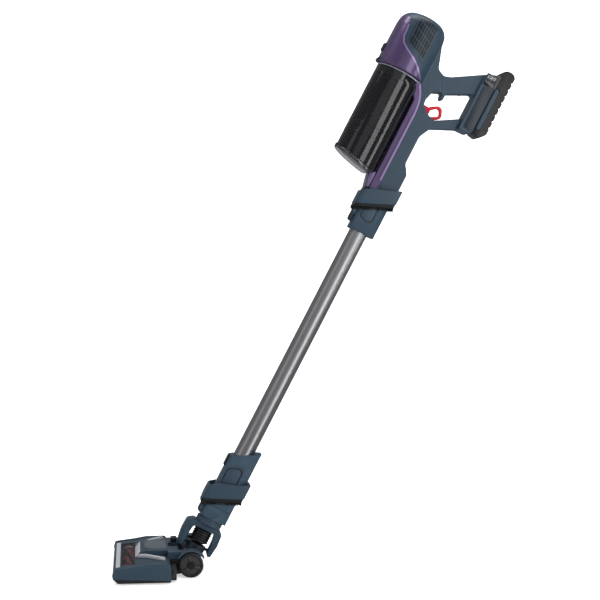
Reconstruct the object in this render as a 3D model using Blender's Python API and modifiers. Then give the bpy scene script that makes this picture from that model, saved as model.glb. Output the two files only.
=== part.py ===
"""Cordless stick vacuum: a handheld unit, its dust bin and battery, a tube, a swivel neck and a
powered floor head, each made of separate pieces.

Frame: metres, +Z up, the origin in the middle of the hand grip, -X towards the nose of the floor
head, +X towards the user, Y across. Sizes below are in millimetres, and MM turns them into metres
where meshes are made.
Pieces above the wheel axle are drawn in the stick's own frame: u across the stick (+ to the rear),
y across the machine, v up along the tube, with its zero on the wheel axle.
"""
import bpy
import bmesh
from math import cos, pi, radians, sin, tan
from mathutils import Matrix, Vector

# ---------------------------------------------------------------- driving dimensions, millimetres
MM = 0.001
GAP = 0.3            # clearance kept between pieces that touch
LEAN = 27.5          # degrees that the stick leans back from upright
GRIP_U = 50.0        # middle of the hand grip in the stick frame, the origin of the whole model
GRIP_V = 1009.0
WHEEL_R = 22.5       # also the height of the axle over the floor
AXLE_X = -(GRIP_U * cos(radians(LEAN)) + GRIP_V * sin(radians(LEAN)))
AXLE_Z = GRIP_U * sin(radians(LEAN)) - GRIP_V * cos(radians(LEAN))

TUBE_U = 2.5         # centre line of the tube in the stick frame
TUBE_R = 17.5
TUBE_WALL = 1.2
TUBE_LOW = 206.5
TUBE_TOP = 696.5
SPIGOT_R = 16.6      # spigots that plug into the tube's two fittings
AIR_R = 13.5         # air way through the spigots

BIN_U = -65.5        # axis shared by the dust bin, the cyclone and the motor
BIN_R = 44.0
BIN_WALL = 2.2
BIN_LOW = 787.0
BIN_TOP = 971.5
BIN_SHOULDER = 14.0  # 45 degree slope around the top of the bin
MOTOR_HOUSE_R = 48.0
MOTOR_BAY_R = 40.0

SPINE_HALF = 20.0    # half widths across y
GRIP_HALF = 17.0
ARM_HALF = 13.0
MOUNT_HALF = 24.0
BATTERY_HALF = 25.0
FITTING_HALF = 20.0

HEAD_HALF = 125.0    # floor head, half its width
HEAD_FRONT = -140.0  # x from the axle
HEAD_REAR = -38.0
HUMP_TOP = 45.0      # height of the middle of the head above the floor
BRUSH_X = -111.0
BRUSH_Z = 14.5
BRUSH_R = 13.5
ARM_IN = 46.5        # fork arms of the head, inner and outer faces
ARM_OUT = 65.5
WHEEL_IN = 67.0
WHEEL_OUT = 80.0
ROLLER_R = 5.0

ROLL_V = 24.0        # height of the side-to-side pivot along the stick
YOKE_HALF = 14.0


# ---------------------------------------------------------------- scene and collections
for old in list(bpy.data.objects):
    bpy.data.objects.remove(old, do_unlink=True)

vacuum = bpy.data.collections.new("cordless_stick_vacuum")
bpy.context.scene.collection.children.link(vacuum)


def empty(name, location_mm, lean_degrees=0.0):
    """An empty that carries the pieces drawn in one frame."""
    holder = bpy.data.objects.new(name, None)
    holder.location = Vector(location_mm) * MM
    holder.rotation_euler = (0.0, radians(lean_degrees), 0.0)
    vacuum.objects.link(holder)
    return holder


stick = empty("stick_frame", (AXLE_X, 0, AXLE_Z), LEAN)
floor = empty("floor_frame", (AXLE_X, 0, AXLE_Z - WHEEL_R))


def material(name, colour, roughness, metallic=0.0, alpha=1.0):
    """A Principled BSDF material."""
    made = bpy.data.materials.new(name)
    made.use_nodes = True
    shader = made.node_tree.nodes["Principled BSDF"]
    shader.inputs["Base Color"].default_value = (*colour, 1.0)
    shader.inputs["Roughness"].default_value = roughness
    shader.inputs["Metallic"].default_value = metallic
    shader.inputs["Alpha"].default_value = alpha
    return made


BLUE = material("blue_grey_plastic", (0.048, 0.085, 0.122), 0.45)
NAVY = material("navy_plastic", (0.012, 0.02, 0.034), 0.4)
PURPLE = material("metallic_purple", (0.16, 0.09, 0.26), 0.3, 0.6)
BLACK = material("black_plastic", (0.01, 0.01, 0.012), 0.5)
GLOSS = material("gloss_black", (0.005, 0.005, 0.007), 0.1)
SMOKE = material("smoke_clear", (0.02, 0.02, 0.025), 0.05, 0.0, 0.35)
CLEAR = material("clear_plastic", (0.5, 0.52, 0.55), 0.05, 0.0, 0.3)
STEEL = material("brushed_steel", (0.36, 0.34, 0.32), 0.35, 1.0)
RED = material("red_plastic", (0.55, 0.0, 0.02), 0.35)
BRISTLE = material("black_bristle", (0.006, 0.006, 0.006), 0.9)
BRUSH_RED = material("brush_red", (0.16, 0.01, 0.01), 0.7)
RUBBER = material("rubber", (0.008, 0.008, 0.008), 0.7)
WHITE = material("white_trim", (0.75, 0.76, 0.78), 0.35)
SILVER = material("silver_panel", (0.25, 0.28, 0.31), 0.3, 0.5)
FOAM = material("filter_foam", (0.35, 0.36, 0.38), 0.95)
BOARD = material("circuit_board", (0.01, 0.09, 0.03), 0.6)
CELL = material("cell_sleeve", (0.02, 0.08, 0.2), 0.4)


# ---------------------------------------------------------------- modelling helpers
def working_object(mesh):
    """Wraps a mesh, whose points are in metres, in an object to work on."""
    made = bpy.data.objects.new("work", mesh)
    vacuum.objects.link(made)
    return made


def evaluated_mesh(source):
    """The mesh that an object's modifiers, or its curve, make."""
    graph = bpy.context.evaluated_depsgraph_get()
    graph.update()
    return bpy.data.meshes.new_from_object(source.evaluated_get(graph))


def apply_modifiers(target):
    """Keeps what the modifiers make and drops the modifiers."""
    target.data = evaluated_mesh(target)
    target.modifiers.clear()
    return target


def boolean(target, tool, operation):
    """Joins, cuts or intersects two closed working objects; the tool is used up."""
    step = target.modifiers.new("boolean", 'BOOLEAN')
    step.operation = operation
    step.solver = 'EXACT'
    step.object = tool
    apply_modifiers(target)
    bpy.data.objects.remove(tool, do_unlink=True)
    return target


def joined(target, *tools):
    for tool in tools:
        boolean(target, tool, 'UNION')
    return target


def cut(target, *tools):
    for tool in tools:
        boolean(target, tool, 'DIFFERENCE')
    return target


def common(target, tool):
    return boolean(target, tool, 'INTERSECT')


def copy_of(source):
    """A second working object with its own copy of the mesh."""
    return working_object(source.data.copy())


def mirrored(source):
    """The same piece on the other side of the machine (y becomes -y)."""
    twin = copy_of(source)
    twin.data.transform(Matrix.Scale(-1.0, 4, (0.0, 1.0, 0.0)))
    twin.data.flip_normals()
    return twin


def softened(target, width, segments=1, angle=35.0):
    """Rounds the edges sharper than the angle."""
    step = target.modifiers.new("bevel", 'BEVEL')
    step.width = width * MM
    step.segments = segments
    step.limit_method = 'ANGLE'
    step.angle_limit = radians(angle)
    return apply_modifiers(target)


def rounded(corners, steps=3):
    """An outline through (a, b, radius) corners, each rounded by an arc of that radius."""
    points = []
    count = len(corners)
    for index, (a, b, radius) in enumerate(corners):
        here = Vector((a, b))
        if radius <= 0:
            points.append(here)
            continue
        before = (Vector(corners[index - 1][:2]) - here).normalized()
        after = (Vector(corners[(index + 1) % count][:2]) - here).normalized()
        half = before.angle(after) / 2.0
        reach = radius / tan(half)
        centre = here + (before + after).normalized() * (radius / sin(half))
        start = here + before * reach - centre
        sweep = start.angle_signed(here + after * reach - centre)
        for step in range(steps + 1):
            turn = Matrix.Rotation(-sweep * step / steps, 2)
            points.append(centre + turn @ start)
    return [(point.x, point.y) for point in points]


def arc(centre_a, centre_b, radius, start_degrees, end_degrees, steps):
    """Points along an arc, in order from start to end."""
    span = end_degrees - start_degrees
    angles = [radians(start_degrees + span * step / steps) for step in range(steps + 1)]
    return [(centre_a + radius * cos(turn), centre_b + radius * sin(turn)) for turn in angles]


def shifted(points, da, db):
    return [(a + da, b + db) for a, b in points]


# where an outline's first axis, second axis and thickness point: u, y and v of the frame
FACING = {
    "y": Matrix(((1, 0, 0, 0), (0, 0, -1, 0), (0, 1, 0, 0), (0, 0, 0, 1))),
    "v": Matrix.Identity(4),
    "u": Matrix(((0, 0, 1, 0), (1, 0, 0, 0), (0, 1, 0, 0), (0, 0, 0, 1))),
}


def extruded(outline, low, high, along="y", holes=()):
    """A flat outline given thickness along one axis, from low to high.

    The outline is (u, v) points along y, (u, y) points along v, or (y, v) points along u.
    """
    curve = bpy.data.curves.new("outline", 'CURVE')
    curve.dimensions = '2D'
    curve.fill_mode = 'BOTH'
    curve.extrude = (high - low) / 2.0 * MM
    for loop in (outline, *holes):
        spline = curve.splines.new('POLY')
        spline.points.add(len(loop) - 1)
        for point, (a, b) in zip(spline.points, loop):
            point.co = (a * MM, b * MM, 0.0, 1.0)
        spline.use_cyclic_u = True
    flat = bpy.data.objects.new("outline", curve)
    vacuum.objects.link(flat)
    mesh = evaluated_mesh(flat)
    bpy.data.objects.remove(flat, do_unlink=True)
    tidy = bmesh.new()
    tidy.from_mesh(mesh)
    bmesh.ops.remove_doubles(tidy, verts=tidy.verts, dist=1e-6)
    bmesh.ops.dissolve_limit(tidy, angle_limit=radians(0.5), verts=tidy.verts, edges=tidy.edges)
    bmesh.ops.recalc_face_normals(tidy, faces=tidy.faces)
    tidy.to_mesh(mesh)
    tidy.free()
    middle = (low + high) / 2.0 * MM
    offset = {"y": (0, middle, 0), "v": (0, 0, middle), "u": (middle, 0, 0)}[along]
    mesh.transform(Matrix.Translation(offset) @ FACING[along])
    return working_object(mesh)


def box(u0, u1, y0, y1, v0, v1):
    """A block between two corners."""
    shape = bmesh.new()
    bmesh.ops.create_cube(shape, size=1.0)
    size = Vector((u1 - u0, y1 - y0, v1 - v0)) * MM
    middle = Vector((u0 + u1, y0 + y1, v0 + v1)) * MM / 2.0
    bmesh.ops.scale(shape, vec=size, verts=shape.verts)
    bmesh.ops.translate(shape, vec=middle, verts=shape.verts)
    mesh = bpy.data.meshes.new("box")
    shape.to_mesh(mesh)
    shape.free()
    return working_object(mesh)


TURN = {
    "y": Matrix.Rotation(radians(-90), 4, 'X'),
    "v": Matrix.Identity(4),
    "u": Matrix.Rotation(radians(90), 4, 'Y'),
}


def cylinder(radius, low, high, across=(0, 0), along="v", sides=24, top_radius=None):
    """A round bar along one axis; across is where its axis crosses the other two axes."""
    shape = bmesh.new()
    upper = radius if top_radius is None else top_radius
    bmesh.ops.create_cone(shape, cap_ends=True, segments=sides, radius1=radius * MM,
                          radius2=upper * MM, depth=(high - low) * MM)
    mesh = bpy.data.meshes.new("cylinder")
    shape.to_mesh(mesh)
    shape.free()
    middle = (low + high) / 2.0
    spot = {"y": (across[0], middle, across[1]), "v": (across[0], across[1], middle),
            "u": (middle, across[0], across[1])}[along]
    mesh.transform(Matrix.Translation(Vector(spot) * MM) @ TURN[along])
    return working_object(mesh)


def pipe(outer, inner, low, high, across=(0, 0), along="v", sides=24):
    """A round bar with a bore right through it."""
    bore = cylinder(inner, low - 5, high + 5, across, along, sides)
    return cut(cylinder(outer, low, high, across, along, sides), bore)


def turned(profile, across=(0, 0), along="v", steps=24):
    """A closed (radius, height) profile, spun with the Screw modifier.

    The profile runs down its outer side, so that the faces point out.
    """
    shape = bmesh.new()
    points = [shape.verts.new((r * MM, 0.0, h * MM)) for r, h in profile]
    for index, point in enumerate(points):
        if index + 1 < len(points) or profile[0][0] > 0.0:
            shape.edges.new((point, points[(index + 1) % len(points)]))
    mesh = bpy.data.meshes.new("turned")
    shape.to_mesh(mesh)
    shape.free()
    spun = working_object(mesh)
    screw = spun.modifiers.new("turn", 'SCREW')
    screw.axis = 'Z'
    screw.steps = steps
    screw.render_steps = steps
    screw.use_merge_vertices = True
    screw.merge_threshold = 1e-6
    apply_modifiers(spun)
    spot = {"y": (across[0], 0, across[1]), "v": (across[0], across[1], 0),
            "u": (0, across[0], across[1])}[along]
    spun.data.transform(Matrix.Translation(Vector(spot) * MM) @ TURN[along])
    return spun


def twisted_bar(outline, low, high, across, turns, steps):
    """A star-shaped bar along y whose section turns evenly along its length."""
    bar = extruded(outline, low, high, "y")
    shape = bmesh.new()
    shape.from_mesh(bar.data)
    cuts = [low + (high - low) * step / steps for step in range(1, steps)]
    for place in cuts:
        everything = shape.verts[:] + shape.edges[:] + shape.faces[:]
        bmesh.ops.bisect_plane(shape, geom=everything, plane_co=(0, place * MM, 0),
                               plane_no=(0, 1, 0), dist=1e-7)
    for point in shape.verts:
        share = (point.co.y / MM - low) / (high - low)
        point.co = Matrix.Rotation(2 * pi * turns * share, 3, 'Y') @ point.co
    shape.to_mesh(bar.data)
    shape.free()
    bar.data.transform(Matrix.Translation(Vector((across[0], 0, across[1])) * MM))
    return bar


def swept(route, radius, sides=8):
    """A round bar along a route of (u, v) points in the middle plane, as a closed mesh."""
    curve = bpy.data.curves.new("route", 'CURVE')
    curve.dimensions = '3D'
    curve.bevel_depth = radius * MM
    curve.bevel_resolution = (sides - 4) // 2
    curve.use_fill_caps = True
    spline = curve.splines.new('POLY')
    spline.points.add(len(route) - 1)
    for point, (u, v) in zip(spline.points, route):
        point.co = (u * MM, 0.0, v * MM, 1.0)
    line = bpy.data.objects.new("route", curve)
    vacuum.objects.link(line)
    mesh = evaluated_mesh(line)
    bpy.data.objects.remove(line, do_unlink=True)
    tidy = bmesh.new()
    tidy.from_mesh(mesh)
    bmesh.ops.remove_doubles(tidy, verts=tidy.verts, dist=1e-6)
    bmesh.ops.recalc_face_normals(tidy, faces=tidy.faces)
    tidy.to_mesh(mesh)
    tidy.free()
    return working_object(mesh)


def piece(name, shape, look, frame, origin=(0.0, 0.0, 0.0)):
    """Names a finished shape, gives it its material, its frame and its origin."""
    shape.name = name
    shape.data.name = name
    spot = Vector(origin) * MM
    shape.data.transform(Matrix.Translation(-spot))
    shape.location = spot
    shape.parent = frame
    shape.data.materials.clear()
    shape.data.materials.append(look)
    shape.data.shade_smooth()
    shape.data.set_sharp_from_angle(angle=radians(32))
    return shape


# ---------------------------------------------------------------- handheld unit
# The line where the purple front cover meets the blue-grey shells, from the top down.
SEAM = [(-105, 1082), (-105, 1073), (-97, 1065), (-93, 1050), (-92, 1032), (-86, 1020),
        (-60, 1005), (-40, 990), (-20, 970), (-10, 950), (-6, 930), (-6, 757)]
HEAD_TOP = [(-85, 1087), (-60, 1087), (-45, 1085), (-30, 1079), (-23, 1068), (-17, 1045),
            (-12, 1025), (-7, 1012), (0, 1007.5), (10, 1007), (20, 1010)]
BATTERY_FACE = 103.7   # u of the face that the battery stands against


def width_envelope(extra=0.0):
    """How wide the handheld is at each place: head, spine, grip, lower arm, battery mount."""
    head = cylinder(MOTOR_HOUSE_R + extra, 940, 1100, (BIN_U, 0), "v", 40)
    spine = box(-70, 34, -SPINE_HALF - extra, SPINE_HALF + extra, 745, 1100)
    grip = box(-10, 80, -GRIP_HALF, GRIP_HALF, 960, 1075)
    arm = box(10, 80, -ARM_HALF, ARM_HALF, 900, 965)
    mount = box(76, 104, -MOUNT_HALF, MOUNT_HALF, 925, 1075)
    return joined(head, spine, grip, arm, mount)


def motor_bay():
    """The round room for the motor, open to the dust bin below."""
    return cylinder(MOTOR_BAY_R, 960, 1062, (BIN_U, 0), "v", 32)


def air_way():
    """The dirt's way: up the spine and forwards into the dust bin."""
    route = [(TUBE_U, 735), (TUBE_U, 862), (0, 878), (-6, 892), (-15, 902), (-28, 906), (-40, 907)]
    return swept(route, 11.0, 12)


def vent_block():
    """The arched space of the exhaust grille across the top of the head."""
    outline = [(-80, 1092), (-80, 1031), (-46, 1014), (-46, 1092)]
    return extruded(outline, -60, 60)


def make_handle_shells():
    """Blue-grey housing in two halves that meet on the middle plane."""
    outer = [(u + GAP, v + GAP) for u, v in SEAM[::-1]]
    outer[0] = (-6 + GAP, 776)
    outer += HEAD_TOP + [(80, 1048), (90, 1054), (BATTERY_FACE, 1058), (BATTERY_FACE, 936)]
    outer += [(98, 932), (80, 930), (30, 906), (22, 897), (20, 885), (20, 829), (25, 823),
              (30, 817), (32, 811), (32, 776)]
    gap_hole = [(0, 943), (-2, 950), (0, 960), (6, 970), (15, 975.5), (20, 977), (24, 965.5),
                (27, 963.5), (27, 977.5), (73, 1001), (76, 998), (76, 955), (73, 950), (30, 925),
                (25, 922), (12, 930)]
    whole = common(extruded(outer, -60, 60, "y", (gap_hole,)), width_envelope())
    cut(whole, motor_bay(), air_way(), vent_block())
    cut(whole, box(-4.5, 27, -5.5, 5.5, 918, 948), box(30, 70, -6, 6, 986, 1004))
    cut(whole, box(56, 70, -6, 6, 1003, 1022), box(78, 101, -25, -19.5, 1026, 1050))
    cut(whole, box(86, 96, -19.6, -16, 1029, 1047), box(84, 99, -14, 14, 960, 1020))
    cut(whole, cylinder(2.3, -9, 9, (4, 938), "y", 10))
    left = common(copy_of(whole), box(-200, 200, GAP / 2, 70, 700, 1200))
    right = common(whole, box(-200, 200, -70, -GAP / 2, 700, 1200))
    piece("handle_shell_left", left, BLUE, stick)
    piece("handle_shell_right", right, BLUE, stick)


def make_front_cover():
    """Purple cover: the front of the head, the strip down the spine and the front of the nozzle."""
    outer = [(-112.5, 974), (-113.5, 1070), (-111, 1077), (-105, 1080)] + SEAM[1:]
    outer += [(-28, 757), (-29, 765), (-33, 780), (-33, 785.5), (-20.6, 786), (-20.6, 925),
              (-22, 940), (-30, 955), (-40, 966), (-50, 971.5), (-80, 974)]
    cover = common(extruded(outer, -60, 60), width_envelope())
    cut(cover, motor_bay(), air_way(), vent_block())
    room = cylinder(BIN_R + 0.5, 780, BIN_TOP - BIN_SHOULDER, (BIN_U, 0), "v", 36)
    shoulder = cylinder(BIN_R + 0.5, BIN_TOP - BIN_SHOULDER - 0.01, BIN_TOP + 0.5, (BIN_U, 0), "v", 36,
                        BIN_R - BIN_SHOULDER)
    cut(cover, joined(room, shoulder))
    cut(cover, box(-120, -104, -8.3, 8.3, 994, 1011), cylinder(5.4, -12.3, 12.3, (-111, 978), "y", 16))
    piece("front_cover", cover, PURPLE, stick)


def make_nozzle():
    """Inlet below the spine, with the spigot that plugs into the tube."""
    outline = [(-28, 741), (32, 741), (32, 775.7), (-5.7, 775.7), (-5.7, 756.7), (-28, 756.7)]
    body = extruded(outline, -SPINE_HALF, SPINE_HALF)
    joined(body, cylinder(SPIGOT_R, 701, 743, (TUBE_U, 0), "v", 28))
    cut(body, cylinder(AIR_R, 695, 760, (TUBE_U, 0), "v", 20), cylinder(11, 750, 780, (TUBE_U, 0), "v", 12))
    piece("nozzle", body, NAVY, stick)


def make_motor():
    """Motor, impeller and filters in the bay above the dust bin."""
    can = turned([(0, 1056), (20, 1056), (30, 1050), (30, 1021), (0, 1021)], (BIN_U, 0), "v", 20)
    joined(can, cylinder(2.5, 1008, 1022, (BIN_U, 0), "v", 10))
    piece("motor_can", can, STEEL, stick)
    hub = cylinder(10, 1009, 1019, (BIN_U, 0), "v", 16)
    disc = cylinder(33, 1014, 1016, (BIN_U, 0), "v", 24)
    blades = [box(BIN_U + 8, BIN_U + 31, -0.8, 0.8, 1010, 1015) for _ in range(6)]
    for index, blade in enumerate(blades):
        centre = Matrix.Translation(Vector((BIN_U, 0, 0)) * MM)
        turn = Matrix.Rotation(index * pi / 3, 4, 'Z')
        blade.data.transform(centre @ turn @ centre.inverted())
    joined(hub, disc, *blades)
    cut(hub, cylinder(3.0, 1000, 1030, (BIN_U, 0), "v", 10))
    piece("impeller", hub, STEEL, stick, (BIN_U, 0, 1012))
    piece("motor_filter", cylinder(38, 980, 998, (BIN_U, 0), "v", 24), FOAM, stick)


def make_vent_grille():
    """Arched exhaust grille over the top of the head, with upright slots on both sides."""
    outline = [(-79.7, 1086.5), (-79.7, 1032), (-46.3, 1015), (-46.3, 1084.5), (-60, 1086.5)]
    grille = common(extruded(outline, -60, 60), cylinder(MOTOR_HOUSE_R, 940, 1100, (BIN_U, 0), "v", 40))
    cut(grille, cylinder(MOTOR_BAY_R + 3, 940, 1078, (BIN_U, 0), "v", 32))
    for index in range(5):
        middle = -75 + index * 6
        low = 1036 - index * 3
        cut(grille, box(middle - 1.2, middle + 1.2, -60, 60, low, low + 36))
    piece("vent_grille", grille, NAVY, stick)


def make_handle_fittings():
    """Panel with its two keys, trigger with its pin and switch, board and bin release."""
    panel = softened(box(78.4, 100.6, -24.6, -19.9, 1026.4, 1049.6), 0.8)
    cut(panel, cylinder(3.3, -26, -18, (84.5, 1038), "y", 12), cylinder(3.3, -26, -18, (94.5, 1038), "y", 12))
    piece("control_panel", panel, GLOSS, stick)
    for name, u in (("power_key", 84.5), ("mode_key", 94.5)):
        piece(name, cylinder(3.0, -25.2, -22.2, (u, 1038), "y", 12), NAVY, stick, (u, -25.2, 1038))

    ring = rounded([(12, 926.5, 7), (17, 918.5, 5), (38.5, 932.5, 9), (37, 945, 6), (30, 953, 8),
                    (12.5, 937.5, 6)], 3)
    hole = rounded([(15.5, 928.5, 4), (18.5, 923.5, 3), (35.5, 934, 6), (34, 943, 4), (29, 948.5, 5),
                    (15.5, 937, 3)], 3)
    ring = shifted(ring, 0, 5.5)
    hole = shifted(hole, 0, 5.5)
    trigger = extruded(ring, -4.2, 4.2, "y", (hole,))
    joined(trigger, extruded([(-1, 932.5), (14, 930.5), (15, 943.5), (0, 944)], -4.2, 4.2))
    cut(trigger, cylinder(2.4, -6, 6, (4, 938), "y", 10))
    piece("trigger", trigger, RED, stick, (4, 0, 938))
    piece("trigger_pin", cylinder(1.9, -8, 8, (4, 938), "y", 10), STEEL, stick)
    piece("trigger_switch", box(-1, 10, -4, 4, 925, 930), BLACK, stick)
    piece("main_board", box(33, 67, -4.5, 4.5, 988, 990), BOARD, stick)

    button = softened(box(-117, -106, -8, 8, 995, 1010), 1.0)
    piece("bin_release", button, NAVY, stick, (-117, 0, 1002.5))
    piece("bin_hook", cylinder(5, -12, 12, (-111, 978), "y", 16), BLACK, stick)


make_handle_shells()
make_front_cover()
make_nozzle()
make_motor()
make_vent_grille()
make_handle_fittings()


# ---------------------------------------------------------------- dust bin
LID_PIVOT = (-36.0, 783.5)   # u, v of the lid's hinge


def bin_floor_cut():
    """Everything below the slanted lower edge of the bin."""
    slope = [(-120, 805), (-20, 784), (-20, 700), (-120, 700)]
    return extruded(slope, -60, 60)


def make_bin():
    """Smoke-clear cup with an open top, an inlet at the rear and the slanted lid below."""
    slope = BIN_SHOULDER
    shell = turned([(BIN_R - slope, BIN_TOP), (BIN_R, BIN_TOP - slope), (BIN_R, BIN_LOW - 5),
                    (BIN_R - BIN_WALL, BIN_LOW - 5), (BIN_R - BIN_WALL, BIN_TOP - slope - 1),
                    (BIN_R - slope, BIN_TOP - 3)], (BIN_U, 0), "v", 36)
    cut(shell, bin_floor_cut(), cylinder(10, -32, -15, (0, 907), "u", 12))
    piece("bin_shell", shell, SMOKE, stick, (-80, 0, BIN_LOW))

    lid_plan = cylinder(BIN_R + 0.5, 700, 900, (BIN_U, 0), "v", 36)
    lid = extruded([(-112, 803), (-22, 784.1), (-22, 780.6), (-34, 780.6), (-112, 796.6)], -60, 60)
    lid = common(lid, lid_plan)
    cut(lid, box(-34.2, -15, -60, 60, 770, 800))
    piece("bin_lid", lid, CLEAR, stick, (LID_PIVOT[0], 0, LID_PIVOT[1]))


def make_cyclone():
    """Shroud, cone and collar of the cyclone that hangs in the bin."""
    shroud = turned([(20, 950), (20, 871), (18, 871), (18, 950)], (BIN_U, 0), "v", 24)
    piece("cyclone_shroud", shroud, BLACK, stick, (BIN_U, 0, 905))
    cone = turned([(18, 870.5), (31, 862), (31, 856), (29, 856), (29, 861), (8, 866), (12, 830),
                   (10, 830), (6, 869)], (BIN_U, 0), "v", 24)
    piece("cyclone_cone", cone, BLACK, stick, (BIN_U, 0, 850))
    collar = turned([(27, 966), (40, 954), (40, 950.5), (14, 950.5), (14, 966)], (BIN_U, 0), "v", 24)
    piece("cyclone_collar", collar, GLOSS, stick, (BIN_U, 0, 958))


# ---------------------------------------------------------------- battery
def make_battery():
    """Ribbed battery that slides onto the rear of the grip, with its cells and two clips."""
    face = BATTERY_FACE + GAP
    corners = [(face, 936, 2), (118, 933.5, 3), (128.5, 945, 3), (128.5, 1070, 9), (face, 1066, 2)]
    case = extruded(rounded(corners, 2), -BATTERY_HALF, BATTERY_HALF)
    room = box(106, 126, -20, 20, 944, 1060)
    cut(case, room, box(face - 1, 108, -9, 9, 990, 1010))
    for side in (-1, 1):
        near, far = sorted((side * 21.5, side * 27))
        cut(case, box(face - 1, 113.5, near, far, 946, 1030))
    for level in range(8):
        low = 952 + level * 13.5
        cut(case, box(127, 130, -30, 30, low, low + 3.5))
    piece("battery_case", case, BLACK, stick, (face, 0, 1000))
    for side, word in ((-1, "right"), (1, "left")):
        cells = cylinder(9, 946, 1058, (116, side * 9.6), "v", 12)
        piece(f"battery_cells_{word}", cells, CELL, stick)
        near, far = sorted((side * 22.5, side * 27.2))
        clip = softened(box(face + 0.3, 113.2, near, far, 946.3, 1029.7), 1.2)
        piece(f"battery_clip_{word}", clip, BLUE, stick, (108, side * 27.2, 988))


# ---------------------------------------------------------------- tube, brush bands and latches
def band_ring(outline, outer, inner):
    """A sleeve of rectangular section, cut to a side outline with slanted ends."""
    plan = rounded([(outer[0], -outer[2], 7), (outer[1], -outer[2], 7), (outer[1], outer[2], 7),
                    (outer[0], outer[2], 7)], 3)
    hole = rounded([(inner[0], -inner[2], 3), (inner[1], -inner[2], 3), (inner[1], inner[2], 3),
                    (inner[0], inner[2], 3)], 2)
    sleeve = extruded(plan, outline[0], outline[1], "v", (hole,))
    return sleeve


def make_brush_band(prefix, base):
    """Slanted brush sleeve around a fitting; base is the height of its lowest front corner."""
    lower = [(-34, base), (41, base + 33), (41, base + 61), (-18, base + 38), (-34, base + 33)]
    tuft = [(-34, base - 10), (41, base + 23), (41, base + 33 - GAP), (-34, base - GAP)]
    band = band_ring((base - 5, base + 65), (-32, 39, 27), (-29.2, 33.2, 21.2))
    piece(f"{prefix}_brush_band", common(band, extruded(lower, -40, 40)), BLUE, stick, (3, 0, base))
    hair = band_ring((base - 15, base + 45), (-31, 38, 26), (-29.2, 33.2, 21.2))
    piece(f"{prefix}_bristles", common(hair, extruded(tuft, -40, 40)), BRISTLE, stick, (3, 0, base))


def make_latch(name, pivot_v, top_v, low_v):
    """Release lever between two ears on the front of a fitting."""
    lever = extruded([(-27.5, low_v + 3), (-21.6, low_v), (-21.6, top_v), (-27.5, top_v - 3)], -9, 9)
    joined(lever, cylinder(1.5, -12, 12, (-23.8, pivot_v), "y", 10))
    piece(name, lever, NAVY, stick, (-23.8, 0, pivot_v))


def latch_ears(pivot_v):
    """The two ears that carry a latch, as tools to join to its fitting."""
    ears = box(-26.5, -18, -12.6, 12.6, pivot_v - 7, pivot_v + 7)
    cut(ears, box(-30, -20.4, -9.3, 9.3, pivot_v - 10, pivot_v + 10))
    return cut(ears, cylinder(1.9, -20, 20, (-23.8, pivot_v), "y", 10))


def make_tube():
    """Steel tube between two fittings."""
    tube = pipe(TUBE_R, TUBE_R - TUBE_WALL, TUBE_LOW, TUBE_TOP, (TUBE_U, 0), "v", 36)
    piece("tube", tube, STEEL, stick, (TUBE_U, 0, TUBE_LOW))

    half = FITTING_HALF
    upper = softened(box(-20, 32, -half, half, 677, 740.7), 2.5)
    joined(upper, latch_ears(709))
    cut(upper, cylinder(TUBE_R + GAP, 670, 697, (TUBE_U, 0), "v", 36))
    cut(upper, cylinder(SPIGOT_R + 0.4, 690, 745, (TUBE_U, 0), "v", 28))
    piece("tube_upper_fitting", upper, BLUE, stick, (TUBE_U, 0, 677))
    make_latch("upper_latch", 709, 718, 688)

    side = [(-20, 105), (31, 105), (31, 229), (27, 229), (-20, 203)]
    lower = softened(extruded(side, -half, half), 2.5)
    joined(lower, box(-23.5, -18, -8, 8, 180, 203))
    cut(lower, cylinder(TUBE_R + GAP, 206, 235, (TUBE_U, 0), "v", 36))
    cut(lower, cylinder(SPIGOT_R + 0.4, 100, 210, (TUBE_U, 0), "v", 28))
    piece("tube_lower_fitting", lower, BLUE, stick, (TUBE_U, 0, 105))


# ---------------------------------------------------------------- swivel neck
HOSE_U = 1.0


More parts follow.
